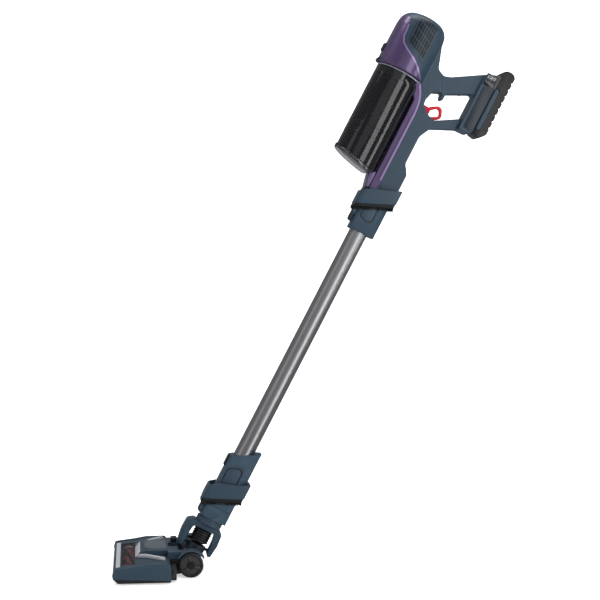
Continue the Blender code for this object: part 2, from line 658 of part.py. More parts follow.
def make_neck():
    """Coupling that plugs into the tube, yoke, ribbed hose and the cradle on the wheel axle."""
    coupling = softened(box(-18, 31, -FITTING_HALF, FITTING_HALF, 80.5, 104.6), 2.0)
    joined(coupling, cylinder(SPIGOT_R, 104, 150, (TUBE_U, 0), "v", 28))
    joined(coupling, cylinder(25, 69, 81, (TUBE_U, 0), "v", 32), latch_ears(92))
    cut(coupling, cylinder(AIR_R, 60, 155, (TUBE_U, 0), "v", 20))
    piece("neck_coupling", coupling, BLUE, stick, (TUBE_U, 0, 69))
    make_latch("lower_latch", 92, 101, 82)

    outside = rounded([(-27, 68.7, 3), (-37, 62, 6), (-38, 40, 12), (-34, 15, 5), (-24, 15, 4),
                       (-23, 40, 8), (-21, 57.5, 5), (22, 57.5, 5), (25, 40, 8), (25.5, 15, 4),
                       (33, 15, 5), (36, 40, 12), (34, 62, 6), (27, 68.7, 3)], 2)
    yoke = extruded(outside, -YOKE_HALF, YOKE_HALF)
    cut(yoke, cylinder(AIR_R, 50, 75, (TUBE_U, 0), "v", 20), cylinder(3.3, -45, 45, (0, ROLL_V), "u", 12))
    piece("yoke", yoke, BLUE, stick, (0, 0, ROLL_V))

    ribs = []
    for index in range(7):
        level = 55.0 - index * 3.5
        ribs += [(17.5, level), (17.5, level - 1.9), (15.8, level - 2.4), (15.8, level - 3.1)]
    hose = turned(ribs + [(13.2, ribs[-1][1]), (13.2, 55.0)], (HOSE_U, 0), "v", 20)
    piece("hose", hose, RUBBER, stick, (HOSE_U, 0, 28))

    cradle = cylinder(20, -44, 44, (0, 0), "y", 28)
    joined(cradle, cylinder(18.5, 5, 27.5, (HOSE_U, 0), "v", 28))
    joined(cradle, cylinder(2.9, -35, -16, (0, ROLL_V), "u", 12))
    joined(cradle, cylinder(2.9, 16, 34, (0, ROLL_V), "u", 12))
    cut(cradle, cylinder(14, 8, 30, (HOSE_U, 0), "v", 20), cylinder(3.4, -50, 50, (0, 0), "y", 12))
    piece("cradle", cradle, NAVY, stick)


make_bin()
make_cyclone()
make_battery()
make_brush_band("upper", 721)
make_tube()
make_brush_band("lower", 110)
make_neck()


# ---------------------------------------------------------------- floor head
# Here x is from the axle and heights are above the floor. The head's top rises from the nose to the rear.
TOP_LINE = [(-137, 27), (-100, 31), (-80, 35), (-50, 35.8), (-40, 32.5)]
SIDE_FACE = HEAD_HALF - 4.7


def top_layer(low, high):
    """A thin layer that follows the head's top, between two heights over it."""
    return extruded(shifted(TOP_LINE, 0, low) + shifted(TOP_LINE[::-1], 0, high), -130, 130)


def both_sides(shape):
    """A piece and its twin across the middle plane, as two tools."""
    return shape, mirrored(shape)


def make_head_base():
    """Chassis: floor plate with the brush room, and the fork arms that carry the axle."""
    base = box(-139, -38.3, -SIDE_FACE, SIDE_FACE, 2, 14)
    arm = [(-45, 3), (-5, 6), (9, 13), (12, 22.5), (9, 30), (-37.7, 30), (-37.7, 13.9), (-45, 13.9)]
    joined(base, *both_sides(extruded(arm, ARM_IN, ARM_OUT)))
    joined(base, *both_sides(box(-39, -27, 65, 112, 4, 13.9)), *both_sides(box(-37.7, -27, 65, 112, 13, 24)))
    cut(base, box(BRUSH_X - 14.6, BRUSH_X + 14.6, -106, 106, 0, 20))
    cut(base, box(-124, -60, 108, 117, 5, 20), box(BRUSH_X - 4, BRUSH_X + 4, 105, 109, 5, 20))
    cut(base, box(-84, -58, 48, 106, 8, 20), box(-72, -68, 105, 109, 5, 20))
    cut(base, box(BRUSH_X - 4, BRUSH_X + 4, -113, -105, 5, 20))
    cut(base, box(-97, -60, -20, 20, 6, 20))
    for side in (-1, 1):
        near, far = sorted((side * 62, side * 78))
        cut(base, box(-95.5, -84.7, near, far, 0, 11.5))
    cut(base, cylinder(3.4, -70, 70, (0, WHEEL_R), "y", 12))
    piece("head_base", base, NAVY, floor)


def make_head_cover():
    """Upper cover with the window opening, the raised middle, its tail and the wheel fenders."""
    side = [(-139, 14.3), (-140, 20), (-137, 27), (-100, 31), (-80, 35), (-50, 35.8), (-40, 32.5),
            (-38.3, 30), (-38.3, 14.3)]
    cover = softened(extruded(side, -SIDE_FACE, SIDE_FACE), 0.8)
    hump = [(-98, 24), (-98, 31.5), (-90, 41.5), (-83, HUMP_TOP), (-21.5, HUMP_TOP), (-21.5, 30.3), (-45, 24)]
    joined(cover, extruded(hump, -46, 46))
    tail = [(-42, 30.3), (10, 30.3), (12, 33), (8, 40), (0, HUMP_TOP), (-42, HUMP_TOP)]
    joined(cover, *both_sides(extruded(tail, 45, ARM_OUT)))
    fender = arc(0, WHEEL_R, 27.5, 28, 150, 8) + arc(0, WHEEL_R, 24.5, 150, 28, 8)
    joined(cover, *both_sides(extruded(fender, 60, WHEEL_OUT + 1)))
    cut(cover, cylinder(20.8, -ARM_IN + 0.3, ARM_IN - 0.3, (0, WHEEL_R), "y", 28))
    notch = [(-40, 50), (-40, 42), (-20, 28), (-20, 50)]
    cut(cover, extruded(notch, -16.5, 16.5))
    cut(cover, box(-126.3, -100.7, -93.3, 93.3, 20, 40))
    cut(cover, cylinder(14.6, -106, 106, (BRUSH_X, BRUSH_Z), "y", 24))
    cut(cover, box(-124, -60, 108, 117, 10, 26.5), box(BRUSH_X - 4, BRUSH_X + 4, 105, 109, 10, 19))
    cut(cover, box(BRUSH_X - 4, BRUSH_X + 4, -113, -105, 10, 19), box(-72, -68, 105, 109, 10, 24))
    cut(cover, box(-84, -58, 48, 106, 10, 31), box(-94, -45, -20, 20, 10, 41))
    cut(cover, box(-84, -43, -36.5, 36.5, HUMP_TOP - 1.3, 50))
    cut(cover, box(-35, -23, 18, 46, HUMP_TOP - 1.3, 50))
    piece("head_cover", cover, BLUE, floor)


def make_head_trim():
    """Side panels, window, light strip, bright trim, panel on the raised middle and latch."""
    side = rounded([(-139, 4, 3), (-141, 18, 6), (-138, 28.5, 4), (-100, 33, 10), (-80, 36.5, 8),
                    (-44, 36.8, 4), (-37.5, 30, 5), (-36.5, 5, 3), (-45, 3, 3)], 2)
    panel = softened(extruded(side, SIDE_FACE + GAP, HEAD_HALF), 1.2)
    piece("side_panel_right", mirrored(panel), BLUE, floor)
    piece("side_panel_left", panel, BLUE, floor)

    window = common(box(-126, -101, -93, 93, 20, 40), top_layer(-0.4, 0.9))
    piece("brush_window", window, CLEAR, floor)
    strip = common(box(-134.8, -127.2, -104, 104, 20, 40), top_layer(GAP, 1.3))
    piece("light_strip", strip, WHITE, floor)

    wing = [(-90.5, 47), (-96.5, 47), (-54, 92), (-47, 92)]
    for edge, word in ((1, "left"), (-1, "right")):
        arm = common(extruded([(u, edge * y) for u, y in wing[::edge]], 20, 50, "v"), top_layer(GAP, 1.6))
        piece(f"trim_arm_{word}", arm, WHITE, floor)
    front = [(-99.6, 31.4), (-91, 42.3), (-90.2, 41.7), (-98.2, 31.3)]
    front = [(u - 0.6, v + 0.6) for u, v in front]
    piece("trim_front", extruded(front, -44, 44), WHITE, floor)
    middle = softened(box(-83.5, -43.5, -36, 36, HUMP_TOP - 1, HUMP_TOP + 1), 0.8)
    piece("middle_panel", middle, SILVER, floor)
    latch = softened(box(-34.6, -23.4, 18.4, 41.4, HUMP_TOP - 1, HUMP_TOP + 8), 1.0)
    piece("brush_latch", latch, BLACK, floor, (-29, 32, HUMP_TOP))


def make_brush_drive():
    """Brush roll with its pulley, and the motor and belt that turn it."""
    star = []
    for index in range(6):
        for radius, offset in ((9.5, -24), (BRUSH_R, -7), (BRUSH_R, 7), (9.5, 24)):
            turn = radians(index * 60 + offset)
            star.append((radius * cos(turn), radius * sin(turn)))
    roll = twisted_bar(star, -104, 104, (BRUSH_X, BRUSH_Z), 0.5, 12)
    joined(roll, cylinder(3, -112, -103, (BRUSH_X, BRUSH_Z), "y", 12))
    joined(roll, cylinder(3, 103, 110.2, (BRUSH_X, BRUSH_Z), "y", 12))
    joined(roll, cylinder(5, 110, 115.5, (BRUSH_X, BRUSH_Z), "y", 16))
    piece("brush_roll", roll, BRUSH_RED, floor, (BRUSH_X, 0, BRUSH_Z))
    motor_z = 20.0
    piece("brush_motor", cylinder(10.5, 52, 104, (-70, motor_z), "y", 18), STEEL, floor)
    shaft = joined(cylinder(1.8, 104.4, 111, (-70, motor_z), "y", 12),
                   cylinder(4, 110, 115.5, (-70, motor_z), "y", 16))
    piece("motor_pulley", shaft, BLACK, floor, (-70, 112, motor_z))
    outer = arc(BRUSH_X, BRUSH_Z, 6.9, 95, 277, 6) + arc(-70, motor_z, 5.9, -83, 95, 6)
    inner = arc(BRUSH_X, BRUSH_Z, 5.4, 95, 277, 6) + arc(-70, motor_z, 4.4, -83, 95, 6)
    piece("drive_belt", extruded(outer, 111, 115, "y", (inner,)), RUBBER, floor)


def make_wheels():
    """Rear wheels on one steel axle, and two small rollers behind the brush room."""
    piece("wheel_axle", cylinder(3, -82, 82, (0, WHEEL_R), "y", 12), STEEL, floor)
    middle = (WHEEL_IN + WHEEL_OUT) / 2
    half = (WHEEL_OUT - WHEEL_IN) / 2
    for side, word in ((-1, "right"), (1, "left")):
        profile = [(3.5, half - 1), (18, half - 1), (20, half), (WHEEL_R - 1, half),
                   (WHEEL_R, half - 1.5), (WHEEL_R, 1.5 - half), (WHEEL_R - 1, -half), (3.5, -half)]
        wheel = turned(profile, (0, WHEEL_R), "y", 32)
        wheel.data.transform(Matrix.Translation((0, side * middle * MM, 0)))
        piece(f"wheel_{word}", wheel, RUBBER, floor, (0, side * middle, WHEEL_R))
        roller = cylinder(ROLLER_R, side * 70 - 6.5, side * 70 + 6.5, (-90, ROLLER_R), "y", 16)
        piece(f"roller_{word}", roller, RUBBER, floor, (-90, side * 70, ROLLER_R))


make_head_base()
make_head_cover()
make_head_trim()
make_brush_drive()
make_wheels()
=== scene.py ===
"""Looks of the cordless stick vacuum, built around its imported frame."""
from math import cos, hypot, pi, radians, sin, tan

import bmesh
import bpy
from mathutils import Matrix, Vector
from mathutils.bvhtree import BVHTree


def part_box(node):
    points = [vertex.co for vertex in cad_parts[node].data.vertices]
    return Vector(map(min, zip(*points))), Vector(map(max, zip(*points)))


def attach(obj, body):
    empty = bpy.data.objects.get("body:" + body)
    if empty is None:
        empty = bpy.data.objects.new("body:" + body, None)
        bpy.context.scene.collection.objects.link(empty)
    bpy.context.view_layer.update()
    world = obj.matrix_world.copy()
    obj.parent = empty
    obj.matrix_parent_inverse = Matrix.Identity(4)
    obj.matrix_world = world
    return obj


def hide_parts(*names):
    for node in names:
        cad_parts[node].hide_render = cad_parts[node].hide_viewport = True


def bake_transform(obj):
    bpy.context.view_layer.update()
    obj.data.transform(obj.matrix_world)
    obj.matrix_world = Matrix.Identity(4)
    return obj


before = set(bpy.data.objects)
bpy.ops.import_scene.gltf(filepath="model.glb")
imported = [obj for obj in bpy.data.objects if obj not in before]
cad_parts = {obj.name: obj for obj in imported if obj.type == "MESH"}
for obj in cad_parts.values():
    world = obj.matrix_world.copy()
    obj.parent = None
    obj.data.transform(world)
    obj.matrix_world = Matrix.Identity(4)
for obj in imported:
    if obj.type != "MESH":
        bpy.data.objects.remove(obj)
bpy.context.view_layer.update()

# ---------------------------------------------------------------- Studio
# The machine stands on a pale sweep that curves up behind it, under soft lights.
# The camera stands level with the middle of the stick, a little to the nose side.
MM = 0.001
LEAN = radians(27.5)
axle_low, axle_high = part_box("wheel_axle")
AXLE = (Vector(axle_low) + Vector(axle_high)) / 2
WHEEL_R = 22.5
FLOOR_Z = AXLE.z - WHEEL_R * MM
STICK = Matrix.Translation(AXLE) @ Matrix.Rotation(LEAN, 4, 'Y')
HEAD = Matrix.Translation((AXLE.x, 0.0, FLOOR_Z))

scene = bpy.context.scene
scene.view_settings.view_transform = 'Standard'


def area_light(name, spot, target, size, power, colour=(1.0, 1.0, 1.0)):
    """A soft square light at spot, aimed at target."""
    lamp = bpy.data.lights.new(name, 'AREA')
    lamp.shape = 'RECTANGLE'
    lamp.size, lamp.size_y = size
    lamp.energy = power
    lamp.color = colour
    holder = bpy.data.objects.new(name, lamp)
    scene.collection.objects.link(holder)
    holder.location = spot
    holder.rotation_euler = (Vector(target) - Vector(spot)).to_track_quat('-Z', 'Y').to_euler()
    return holder


MIDDLE = AXLE + Vector((0.206, 0.0, 0.474))
area_light("left_softbox", MIDDLE + Vector((-1.7, -1.2, 0.5)), MIDDLE, (0.7, 2.2), 4)
area_light("right_softbox", MIDDLE + Vector((1.9, -0.9, 0.3)), MIDDLE, (0.5, 2.2), 14)
area_light("front_softbox", MIDDLE + Vector((1.15, -2.15, 0.0)), MIDDLE, (0.9, 3.2), 34)
area_light("front_fill", MIDDLE + Vector((-0.2, -2.6, 1.2)), MIDDLE, (1.6, 1.2), 3)
area_light("top_softbox", MIDDLE + Vector((0.0, 0.1, 1.9)), MIDDLE, (1.8, 1.4), 4)
area_light("backdrop_wash", MIDDLE + Vector((0.0, 0.3, 2.2)), MIDDLE + Vector((0, 2.4, -0.2)), (3.0, 1.0), 60)

world = bpy.data.worlds.new("studio")
scene.world = world
world.use_nodes = True
world.node_tree.nodes["Background"].inputs["Color"].default_value = (0.93, 0.95, 1.0, 1.0)
world.node_tree.nodes["Background"].inputs["Strength"].default_value = 0.3

CAMERA_TURN, CAMERA_DROP, CAMERA_REACH = radians(6.4), radians(2.7), 2.76
camera = bpy.data.cameras.new("camera")
camera.sensor_width = 36.0
camera.lens = 89.3
camera_holder = bpy.data.objects.new("camera", camera)
scene.collection.objects.link(camera_holder)
aim = Vector((sin(CAMERA_TURN) * cos(CAMERA_DROP), cos(CAMERA_TURN) * cos(CAMERA_DROP), -sin(CAMERA_DROP)))
camera_holder.location = MIDDLE - aim * CAMERA_REACH
camera_holder.rotation_euler = aim.to_track_quat('-Z', 'Y').to_euler()
scene.camera = camera_holder


def wired(tree, kind, settings=(), feeds=()):
    """Adds a node: settings are its own, feeds are values or sockets for its inputs."""
    made = tree.nodes.new(kind)
    for word, value in dict(settings).items():
        setattr(made, word, value)
    for key, value in dict(feeds).items():
        if isinstance(value, bpy.types.NodeSocket):
            tree.links.new(value, made.inputs[key])
        else:
            made.inputs[key].default_value = value
    return made


SWEEP_HALF, SWEEP_TOP, SWEEP_BEND = 14.0, 7.0, 1.2
SWEEP_FRONT, SWEEP_BACK = -7.0, 1.6
bend = [radians(9 * k) for k in range(11)]
sweep_profile = [(SWEEP_FRONT - SWEEP_BEND, SWEEP_TOP)]
sweep_profile += [(SWEEP_FRONT - SWEEP_BEND * sin(a), SWEEP_BEND * (1 - cos(a))) for a in bend[::-1]]
sweep_profile += [(SWEEP_BACK + SWEEP_BEND * sin(a), SWEEP_BEND * (1 - cos(a))) for a in bend]
sweep_profile += [(SWEEP_BACK + SWEEP_BEND, SWEEP_TOP)]
sweep_mesh = bpy.data.meshes.new("sweep")
sweep_points = [(x, y, z + FLOOR_Z) for y, z in sweep_profile for x in (-SWEEP_HALF, SWEEP_HALF)]
sweep_faces = [(2 * k, 2 * k + 1, 2 * k + 3, 2 * k + 2) for k in range(len(sweep_profile) - 1)]
sweep_mesh.from_pydata(sweep_points, [], sweep_faces)
sweep_mesh.shade_smooth()
sweep = bpy.data.objects.new("sweep", sweep_mesh)
scene.collection.objects.link(sweep)
sweep_paint = bpy.data.materials.new("pale_sweep")
sweep_paint.use_nodes = True
sweep_tree = sweep_paint.node_tree
sweep_shader = sweep_tree.nodes["Principled BSDF"]
for word, value in (("Base Color", (0.9, 0.9, 0.9, 1.0)), ("Roughness", 0.7),
                    ("Emission Color", (1.0, 1.0, 1.0, 1.0)), ("Emission Strength", 0.5)):
    sweep_shader.inputs[word].default_value = value
# Seen from its outer side the sweep is clear, so that it never hides the machine.
outer_side = wired(sweep_tree, "ShaderNodeNewGeometry").outputs["Backfacing"]
sweep_clear = wired(sweep_tree, "ShaderNodeBsdfTransparent").outputs["BSDF"]
sweep_mix = wired(sweep_tree, "ShaderNodeMixShader",
                  feeds={0: outer_side, 1: sweep_shader.outputs["BSDF"], 2: sweep_clear})
sweep_tree.links.new(sweep_mix.outputs["Shader"], sweep_tree.nodes["Material Output"].inputs["Surface"])
sweep_mesh.materials.append(sweep_paint)
sweep.visible_glossy = False


# ---------------------------------------------------------------- Steel tube
# Drawn steel tube, brushed along its length, that carries air from the floor head to the handheld unit.
# Grain and edge wear are shared groups, placed in each material with that material's own strengths; the paler edges
# are wear, and on the purple cover a painted highlight.
GRAIN_DEPTH = 0.0004


def socket(tree, name, kind='Float', value=None, way='INPUT'):
    """Adds a socket to a node group."""
    made = tree.interface.new_socket(name, in_out=way, socket_type='NodeSocket' + kind)
    if value is not None:
        made.default_value = value
    return made


def maths(tree, operation, *feeds):
    """The result of a sum on values or sockets."""
    return wired(tree, "ShaderNodeMath", {"operation": operation}, dict(enumerate(feeds))).outputs[0]


def noise(tree, spot, **feeds):
    """Noise over the surface, around one half."""
    return wired(tree, "ShaderNodeTexNoise", feeds={"Vector": spot, **feeds}).outputs["Fac"]


def grain_group():
    """Fine moulded or brushed grain: a height and a roughness that vary over the surface."""
    group = bpy.data.node_groups.new("surface_grain", 'ShaderNodeTree')
    socket(group, "Scale", value=900.0)
    socket(group, "Stretch", 'Vector', (1, 1, 1))
    socket(group, "Turn", 'Vector')
    socket(group, "Roughness", value=0.45)
    socket(group, "Variation", value=0.06)
    socket(group, "Height", way='OUTPUT')
    socket(group, "Roughness", way='OUTPUT')
    given = wired(group, "NodeGroupInput").outputs
    place = wired(group, "ShaderNodeTexCoord").outputs["Object"]
    turned = wired(group, "ShaderNodeMapping", feeds={"Vector": place, "Rotation": given["Turn"]})
    stretched = wired(group, "ShaderNodeVectorMath", {"operation": 'MULTIPLY'},
                      {0: turned.outputs["Vector"], 1: given["Stretch"]})
    fine = noise(group, stretched.outputs["Vector"], Detail=3.0, Scale=given["Scale"])
    broad = noise(group, place, Scale=18.0)
    centred = maths(group, 'SUBTRACT', maths(group, 'ADD', fine, broad), 1.0)
    rough = maths(group, 'MULTIPLY_ADD', centred, given["Variation"], given["Roughness"])
    wired(group, "NodeGroupOutput", feeds={"Height": fine, "Roughness": rough})
    return group


def wear_and_highlight_group():
    """Colour with paler edges and a faint cloudy tone: worn edges, and on the purple cover a painted highlight along
    the edges.
    """
    group = bpy.data.node_groups.new("edge_wear", 'ShaderNodeTree')
    socket(group, "Colour", 'Color')
    socket(group, "Edge Colour", 'Color')
    socket(group, "Wear And Highlight", value=0.4)
    socket(group, "Tone", value=0.12)
    socket(group, "Colour", 'Color', way='OUTPUT')
    given = wired(group, "NodeGroupInput").outputs
    place = wired(group, "ShaderNodeTexCoord").outputs["Object"]
    edge = wired(group, "ShaderNodeMapRange",
                 feeds={"From Min": 0.51, "From Max": 0.62,
                        "Value": wired(group, "ShaderNodeNewGeometry").outputs["Pointiness"]})
    patches = noise(group, place, Scale=60.0, Detail=4.0)
    amount = maths(group, 'MULTIPLY', maths(group, 'MULTIPLY', edge.outputs["Result"], patches), given["Wear And Highlight"])
    mixed = wired(group, "ShaderNodeMix", {"data_type": 'RGBA'},
                  {"Factor": amount, 6: given["Colour"], 7: given["Edge Colour"]})
    cloud = maths(group, 'SUBTRACT', noise(group, place, Scale=9.0), 0.5)
    tone = maths(group, 'MULTIPLY_ADD', cloud, given["Tone"], 1.0)
    shaded = wired(group, "ShaderNodeVectorMath", {"operation": 'SCALE'}, {0: mixed.outputs[2], "Scale": tone})
    wired(group, "NodeGroupOutput", feeds={"Colour": shaded.outputs["Vector"]})
    return group


GRAIN = grain_group()
WEAR_AND_HIGHLIGHT = wear_and_highlight_group()


def finish_material(name, colour, roughness, metallic=0.0, edge=None, wear_and_highlight=0.35, tone=0.12, grain=900.0,
                    stretch=(1, 1, 1), turn=(0, 0, 0), bump=0.02, variation=0.06, **extra):
    """A Principled material of one finish, with grain, paler edges and its own constant sockets; the paler edges are
    wear, and a given edge colour is a painted highlight.
    """
    made = bpy.data.materials.new(name)
    made.use_nodes = True
    tree = made.node_tree
    shader = tree.nodes["Principled BSDF"]
    shader.inputs["Metallic"].default_value = metallic
    for word, value in extra.items():
        shader.inputs[word.replace("_", " ").title().replace("Ior", "IOR")].default_value = value
    pale = edge or tuple(min(1.0, part * 1.8 + 0.02) for part in colour)
    worn_and_lit = wired(tree, "ShaderNodeGroup", {"node_tree": WEAR_AND_HIGHLIGHT},
                 {"Colour": (*colour, 1.0), "Edge Colour": (*pale, 1.0), "Wear And Highlight": wear_and_highlight, "Tone": tone})
    fine = wired(tree, "ShaderNodeGroup", {"node_tree": GRAIN},
                 {"Scale": grain, "Stretch": stretch, "Turn": turn, "Roughness": roughness, "Variation": variation})
    relief = wired(tree, "ShaderNodeBump",
                   feeds={"Strength": bump, "Distance": GRAIN_DEPTH, "Height": fine.outputs["Height"]})
    tree.links.new(worn_and_lit.outputs["Colour"], shader.inputs["Base Color"])
    tree.links.new(fine.outputs["Roughness"], shader.inputs["Roughness"])
    tree.links.new(relief.outputs["Normal"], shader.inputs["Normal"])
    return made


STEEL = finish_material("brushed_steel_tube", (0.3, 0.3, 0.305), 0.34, 1.0, wear_and_highlight=0.1, tone=0.1, grain=1400.0,
                        stretch=(1, 1, 0.012), turn=(0, -LEAN, 0), bump=0.05, variation=0.1, anisotropic=0.4)
BRIGHT_STEEL = finish_material("bright_steel", (0.55, 0.55, 0.56), 0.25, 1.0)


def object_of(name, mesh):
    made = bpy.data.objects.new(name, mesh)
    scene.collection.objects.link(made)
    return made


def baked(source):
    """Replaces an object's mesh by what its modifiers make."""
    graph = bpy.context.evaluated_depsgraph_get()
    graph.update()
    mesh = bpy.data.meshes.new_from_object(source.evaluated_get(graph))
    source.modifiers.clear()
    source.data = mesh
    return source


def dressed(piece, look, body, *nodes, smooth=34.0):
    """Gives a finished piece its material, its body and the CAD nodes that it stands for."""
    piece.data.materials.clear()
    piece.data.materials.append(look)
    piece.data.shade_smooth()
    piece.data.set_sharp_from_angle(angle=radians(smooth))
    if body:
        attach(piece, body)
    if nodes:
        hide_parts(*nodes)
    return piece


def object_from(name, shape):
    """Turns a bmesh into an object of the scene."""
    mesh = bpy.data.meshes.new(name)
    shape.to_mesh(mesh)
    shape.free()
    return object_of(name, mesh)


def merged_copy(node, name):
    """A merged copy of a CAD node's mesh, with its flat faces made whole."""
    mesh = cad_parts[node].data.copy()
    shape = bmesh.new()
    shape.from_mesh(mesh)
    bmesh.ops.remove_doubles(shape, verts=shape.verts, dist=2e-6)
    bmesh.ops.dissolve_limit(shape, angle_limit=radians(0.6), verts=shape.verts, edges=shape.edges)
    shape.to_mesh(mesh)
    shape.free()
    mesh.materials.clear()
    return object_of(name, mesh)


def softened(piece, width, segments=3, angle=32.0):
    """Rounds the sharp edges of a piece, widths in millimetres."""
    step = piece.modifiers.new("soft_edges", 'BEVEL')
    step.width = width * MM
    step.segments = segments
    step.limit_method = 'ANGLE'
    step.angle_limit = radians(angle)
    step.harden_normals = False
    return baked(piece)


def refined(node, look, body, width):
    """A CAD node's shape again with rounded edges, in place of the node."""
    return dressed(softened(merged_copy(node, node + "_look"), width, 2), look, body, node)


def spun(name, profile, steps=64, place=STICK, across=(0.0, 0.0), along='v'):
    """A closed (radius, height) loop turned about an axis, in millimetres."""
    shape = bmesh.new()
    ring = [shape.verts.new((r * MM, 0.0, h * MM)) for r, h in profile]
    edges = [shape.edges.new((ring[k - 1], ring[k])) for k in range(len(ring))]
    bmesh.ops.spin(shape, geom=ring + edges, cent=(0, 0, 0), axis=(0, 0, 1), angle=2 * pi, steps=steps,
                   use_merge=True)
    bmesh.ops.remove_doubles(shape, verts=shape.verts, dist=1e-6)
    bmesh.ops.recalc_face_normals(shape, faces=shape.faces)
    made = object_from(name, shape)
    if along == 'y':
        made.data.transform(Matrix.Rotation(radians(-90), 4, 'X'))
        made.data.transform(Matrix.Translation((across[0] * MM, 0, across[1] * MM)))
    else:
        made.data.transform(Matrix.Translation((across[0] * MM, across[1] * MM, 0)))
    made.data.transform(place)
    return made


TUBE_U = 2.5
tube_profile = [(17.5, 696.0), (17.1, 696.5), (16.4, 696.5), (16.3, 696.0), (16.3, 207.0), (16.4, 206.5),
                (17.1, 206.5), (17.5, 207.0)]
dressed(spun("tube_steel", tube_profile, 96, across=(TUBE_U, 0)), STEEL, "tube", "tube")


# ---------------------------------------------------------------- Handheld housing
# Two blue-grey shells and a lacquered purple cover, moulded plastic with full soft corners.
# One soft body is modelled whole, then parted along the line where the real covers meet.
BLUE = finish_material("blue_grey_plastic", (0.0175, 0.037, 0.057), 0.42, 0.05, wear_and_highlight=0.5, grain=1600.0,
                       bump=0.06, specular_ior_level=0.3)
NAVY = finish_material("navy_plastic", (0.006, 0.011, 0.018), 0.38, 0.0, wear_and_highlight=0.5, grain=1600.0,
                       bump=0.06, specular_ior_level=0.35)
# The purple cover's pale edge colour paints a highlight along its edges.
PURPLE = finish_material("purple_lacquer", (0.058, 0.034, 0.1), 0.32, 0.45, edge=(0.3, 0.25, 0.4), wear_and_highlight=0.45,
                         tone=0.1, grain=4000.0, bump=0.02, coat_weight=0.35, coat_roughness=0.12)
BLACK = finish_material("black_plastic", (0.004, 0.004, 0.005), 0.42, wear_and_highlight=0.6, grain=1800.0, bump=0.06,
                        specular_ior_level=0.3)
GLOSS = finish_material("gloss_black_panel", (0.003, 0.003, 0.004), 0.3, wear_and_highlight=0.1, bump=0.0, variation=0.02,
                        coat_weight=0.6, specular_ior_level=0.15)


def outline_mesh(name, outline, low, high, along='y', holes=(), place=STICK):
    """A flat outline in millimetres with thickness along one axis, put into its place."""
    curve = bpy.data.curves.new(name, 'CURVE')
    curve.dimensions = '2D'
    curve.fill_mode = 'BOTH'
    curve.extrude = (high - low) / 2 * MM
    for loop in (outline, *holes):
        spline = curve.splines.new('POLY')
        spline.points.add(len(loop) - 1)
        for point, (a, b) in zip(spline.points, loop):
            point.co = (a * MM, b * MM, 0, 1)
        spline.use_cyclic_u = True
    flat = object_of(name, curve)
    graph = bpy.context.evaluated_depsgraph_get()
    graph.update()
    mesh = bpy.data.meshes.new_from_object(flat.evaluated_get(graph))
    bpy.data.objects.remove(flat, do_unlink=True)
    shape = bmesh.new()
    shape.from_mesh(mesh)
    bmesh.ops.remove_doubles(shape, verts=shape.verts, dist=1e-6)
    bmesh.ops.dissolve_limit(shape, angle_limit=radians(0.5), verts=shape.verts, edges=shape.edges)
    bmesh.ops.recalc_face_normals(shape, faces=shape.faces)
    shape.to_mesh(mesh)
    shape.free()
    middle = (low + high) / 2 * MM
    rows = {'y': ((1, 0, 0), (0, 0, -1), (0, 1, 0)), 'u': ((0, 0, 1), (1, 0, 0), (0, 1, 0)),
            'v': ((1, 0, 0), (0, 1, 0), (0, 0, 1))}[along]
    shift = {'y': (0, middle, 0), 'u': (middle, 0, 0), 'v': (0, 0, middle)}[along]
    mesh.transform(place @ Matrix.Translation(shift) @ Matrix(rows).to_4x4())
    return object_of(name, mesh)


def rounded(corners, steps=5):
    """An outline through (a, b, radius) corners, each rounded by an arc of that radius."""
    points = []
    for index, (a, b, radius) in enumerate(corners):
        here = Vector((a, b))
        if radius <= 0:
            points.append((a, b))
            continue
        before = (Vector(corners[index - 1][:2]) - here).normalized()
        after = (Vector(corners[(index + 1) % len(corners)][:2]) - here).normalized()
        half = before.angle(after) / 2
        centre = here + (before + after).normalized() * (radius / sin(half))
        start = here + before * (radius / tan(half)) - centre
        sweep = start.angle_signed(here + after * (radius / tan(half)) - centre)
        points += [tuple(centre + Matrix.Rotation(-sweep * k / steps, 2) @ start) for k in range(steps + 1)]
    return points


def combine(target, tool, operation):
    """Joins, cuts or intersects two closed pieces; the tool is used up."""
    step = target.modifiers.new("combine", 'BOOLEAN')
    step.operation = operation
    step.solver = 'EXACT'
    step.object = tool
    baked(target)
    bpy.data.objects.remove(tool, do_unlink=True)
    return target


def block(name, u0, u1, y0, y1, v0, v1, place=STICK, soft=0.0, segments=3):
    """A block between two corners, in millimetres, with soft edges if asked."""
    shape = bmesh.new()
    bmesh.ops.create_cube(shape, size=1.0)
    bmesh.ops.scale(shape, vec=Vector((u1 - u0, y1 - y0, v1 - v0)) * MM, verts=shape.verts)
    bmesh.ops.translate(shape, vec=Vector((u0 + u1, y0 + y1, v0 + v1)) * MM / 2, verts=shape.verts)
    made = object_from(name, shape)
    made.data.transform(place)
    return softened(made, soft, segments) if soft > 0 else made


BIN_U = -65.5
WIDE = 60
SEAM = [(-104, 1092), (-103, 1076), (-97, 1066), (-93.5, 1055), (-92.5, 1042), (-92, 1032), (-87.5, 1022),
        (-78, 1014), (-60, 1004), (-47, 995.5), (-34, 984), (-22, 970.5), (-14, 957), (-9, 943), (-6.5, 928),
        (-6, 915), (-6, 780), (-7, 766), (-10, 760), (-16, 757), (-24, 756), (-24, 735)]

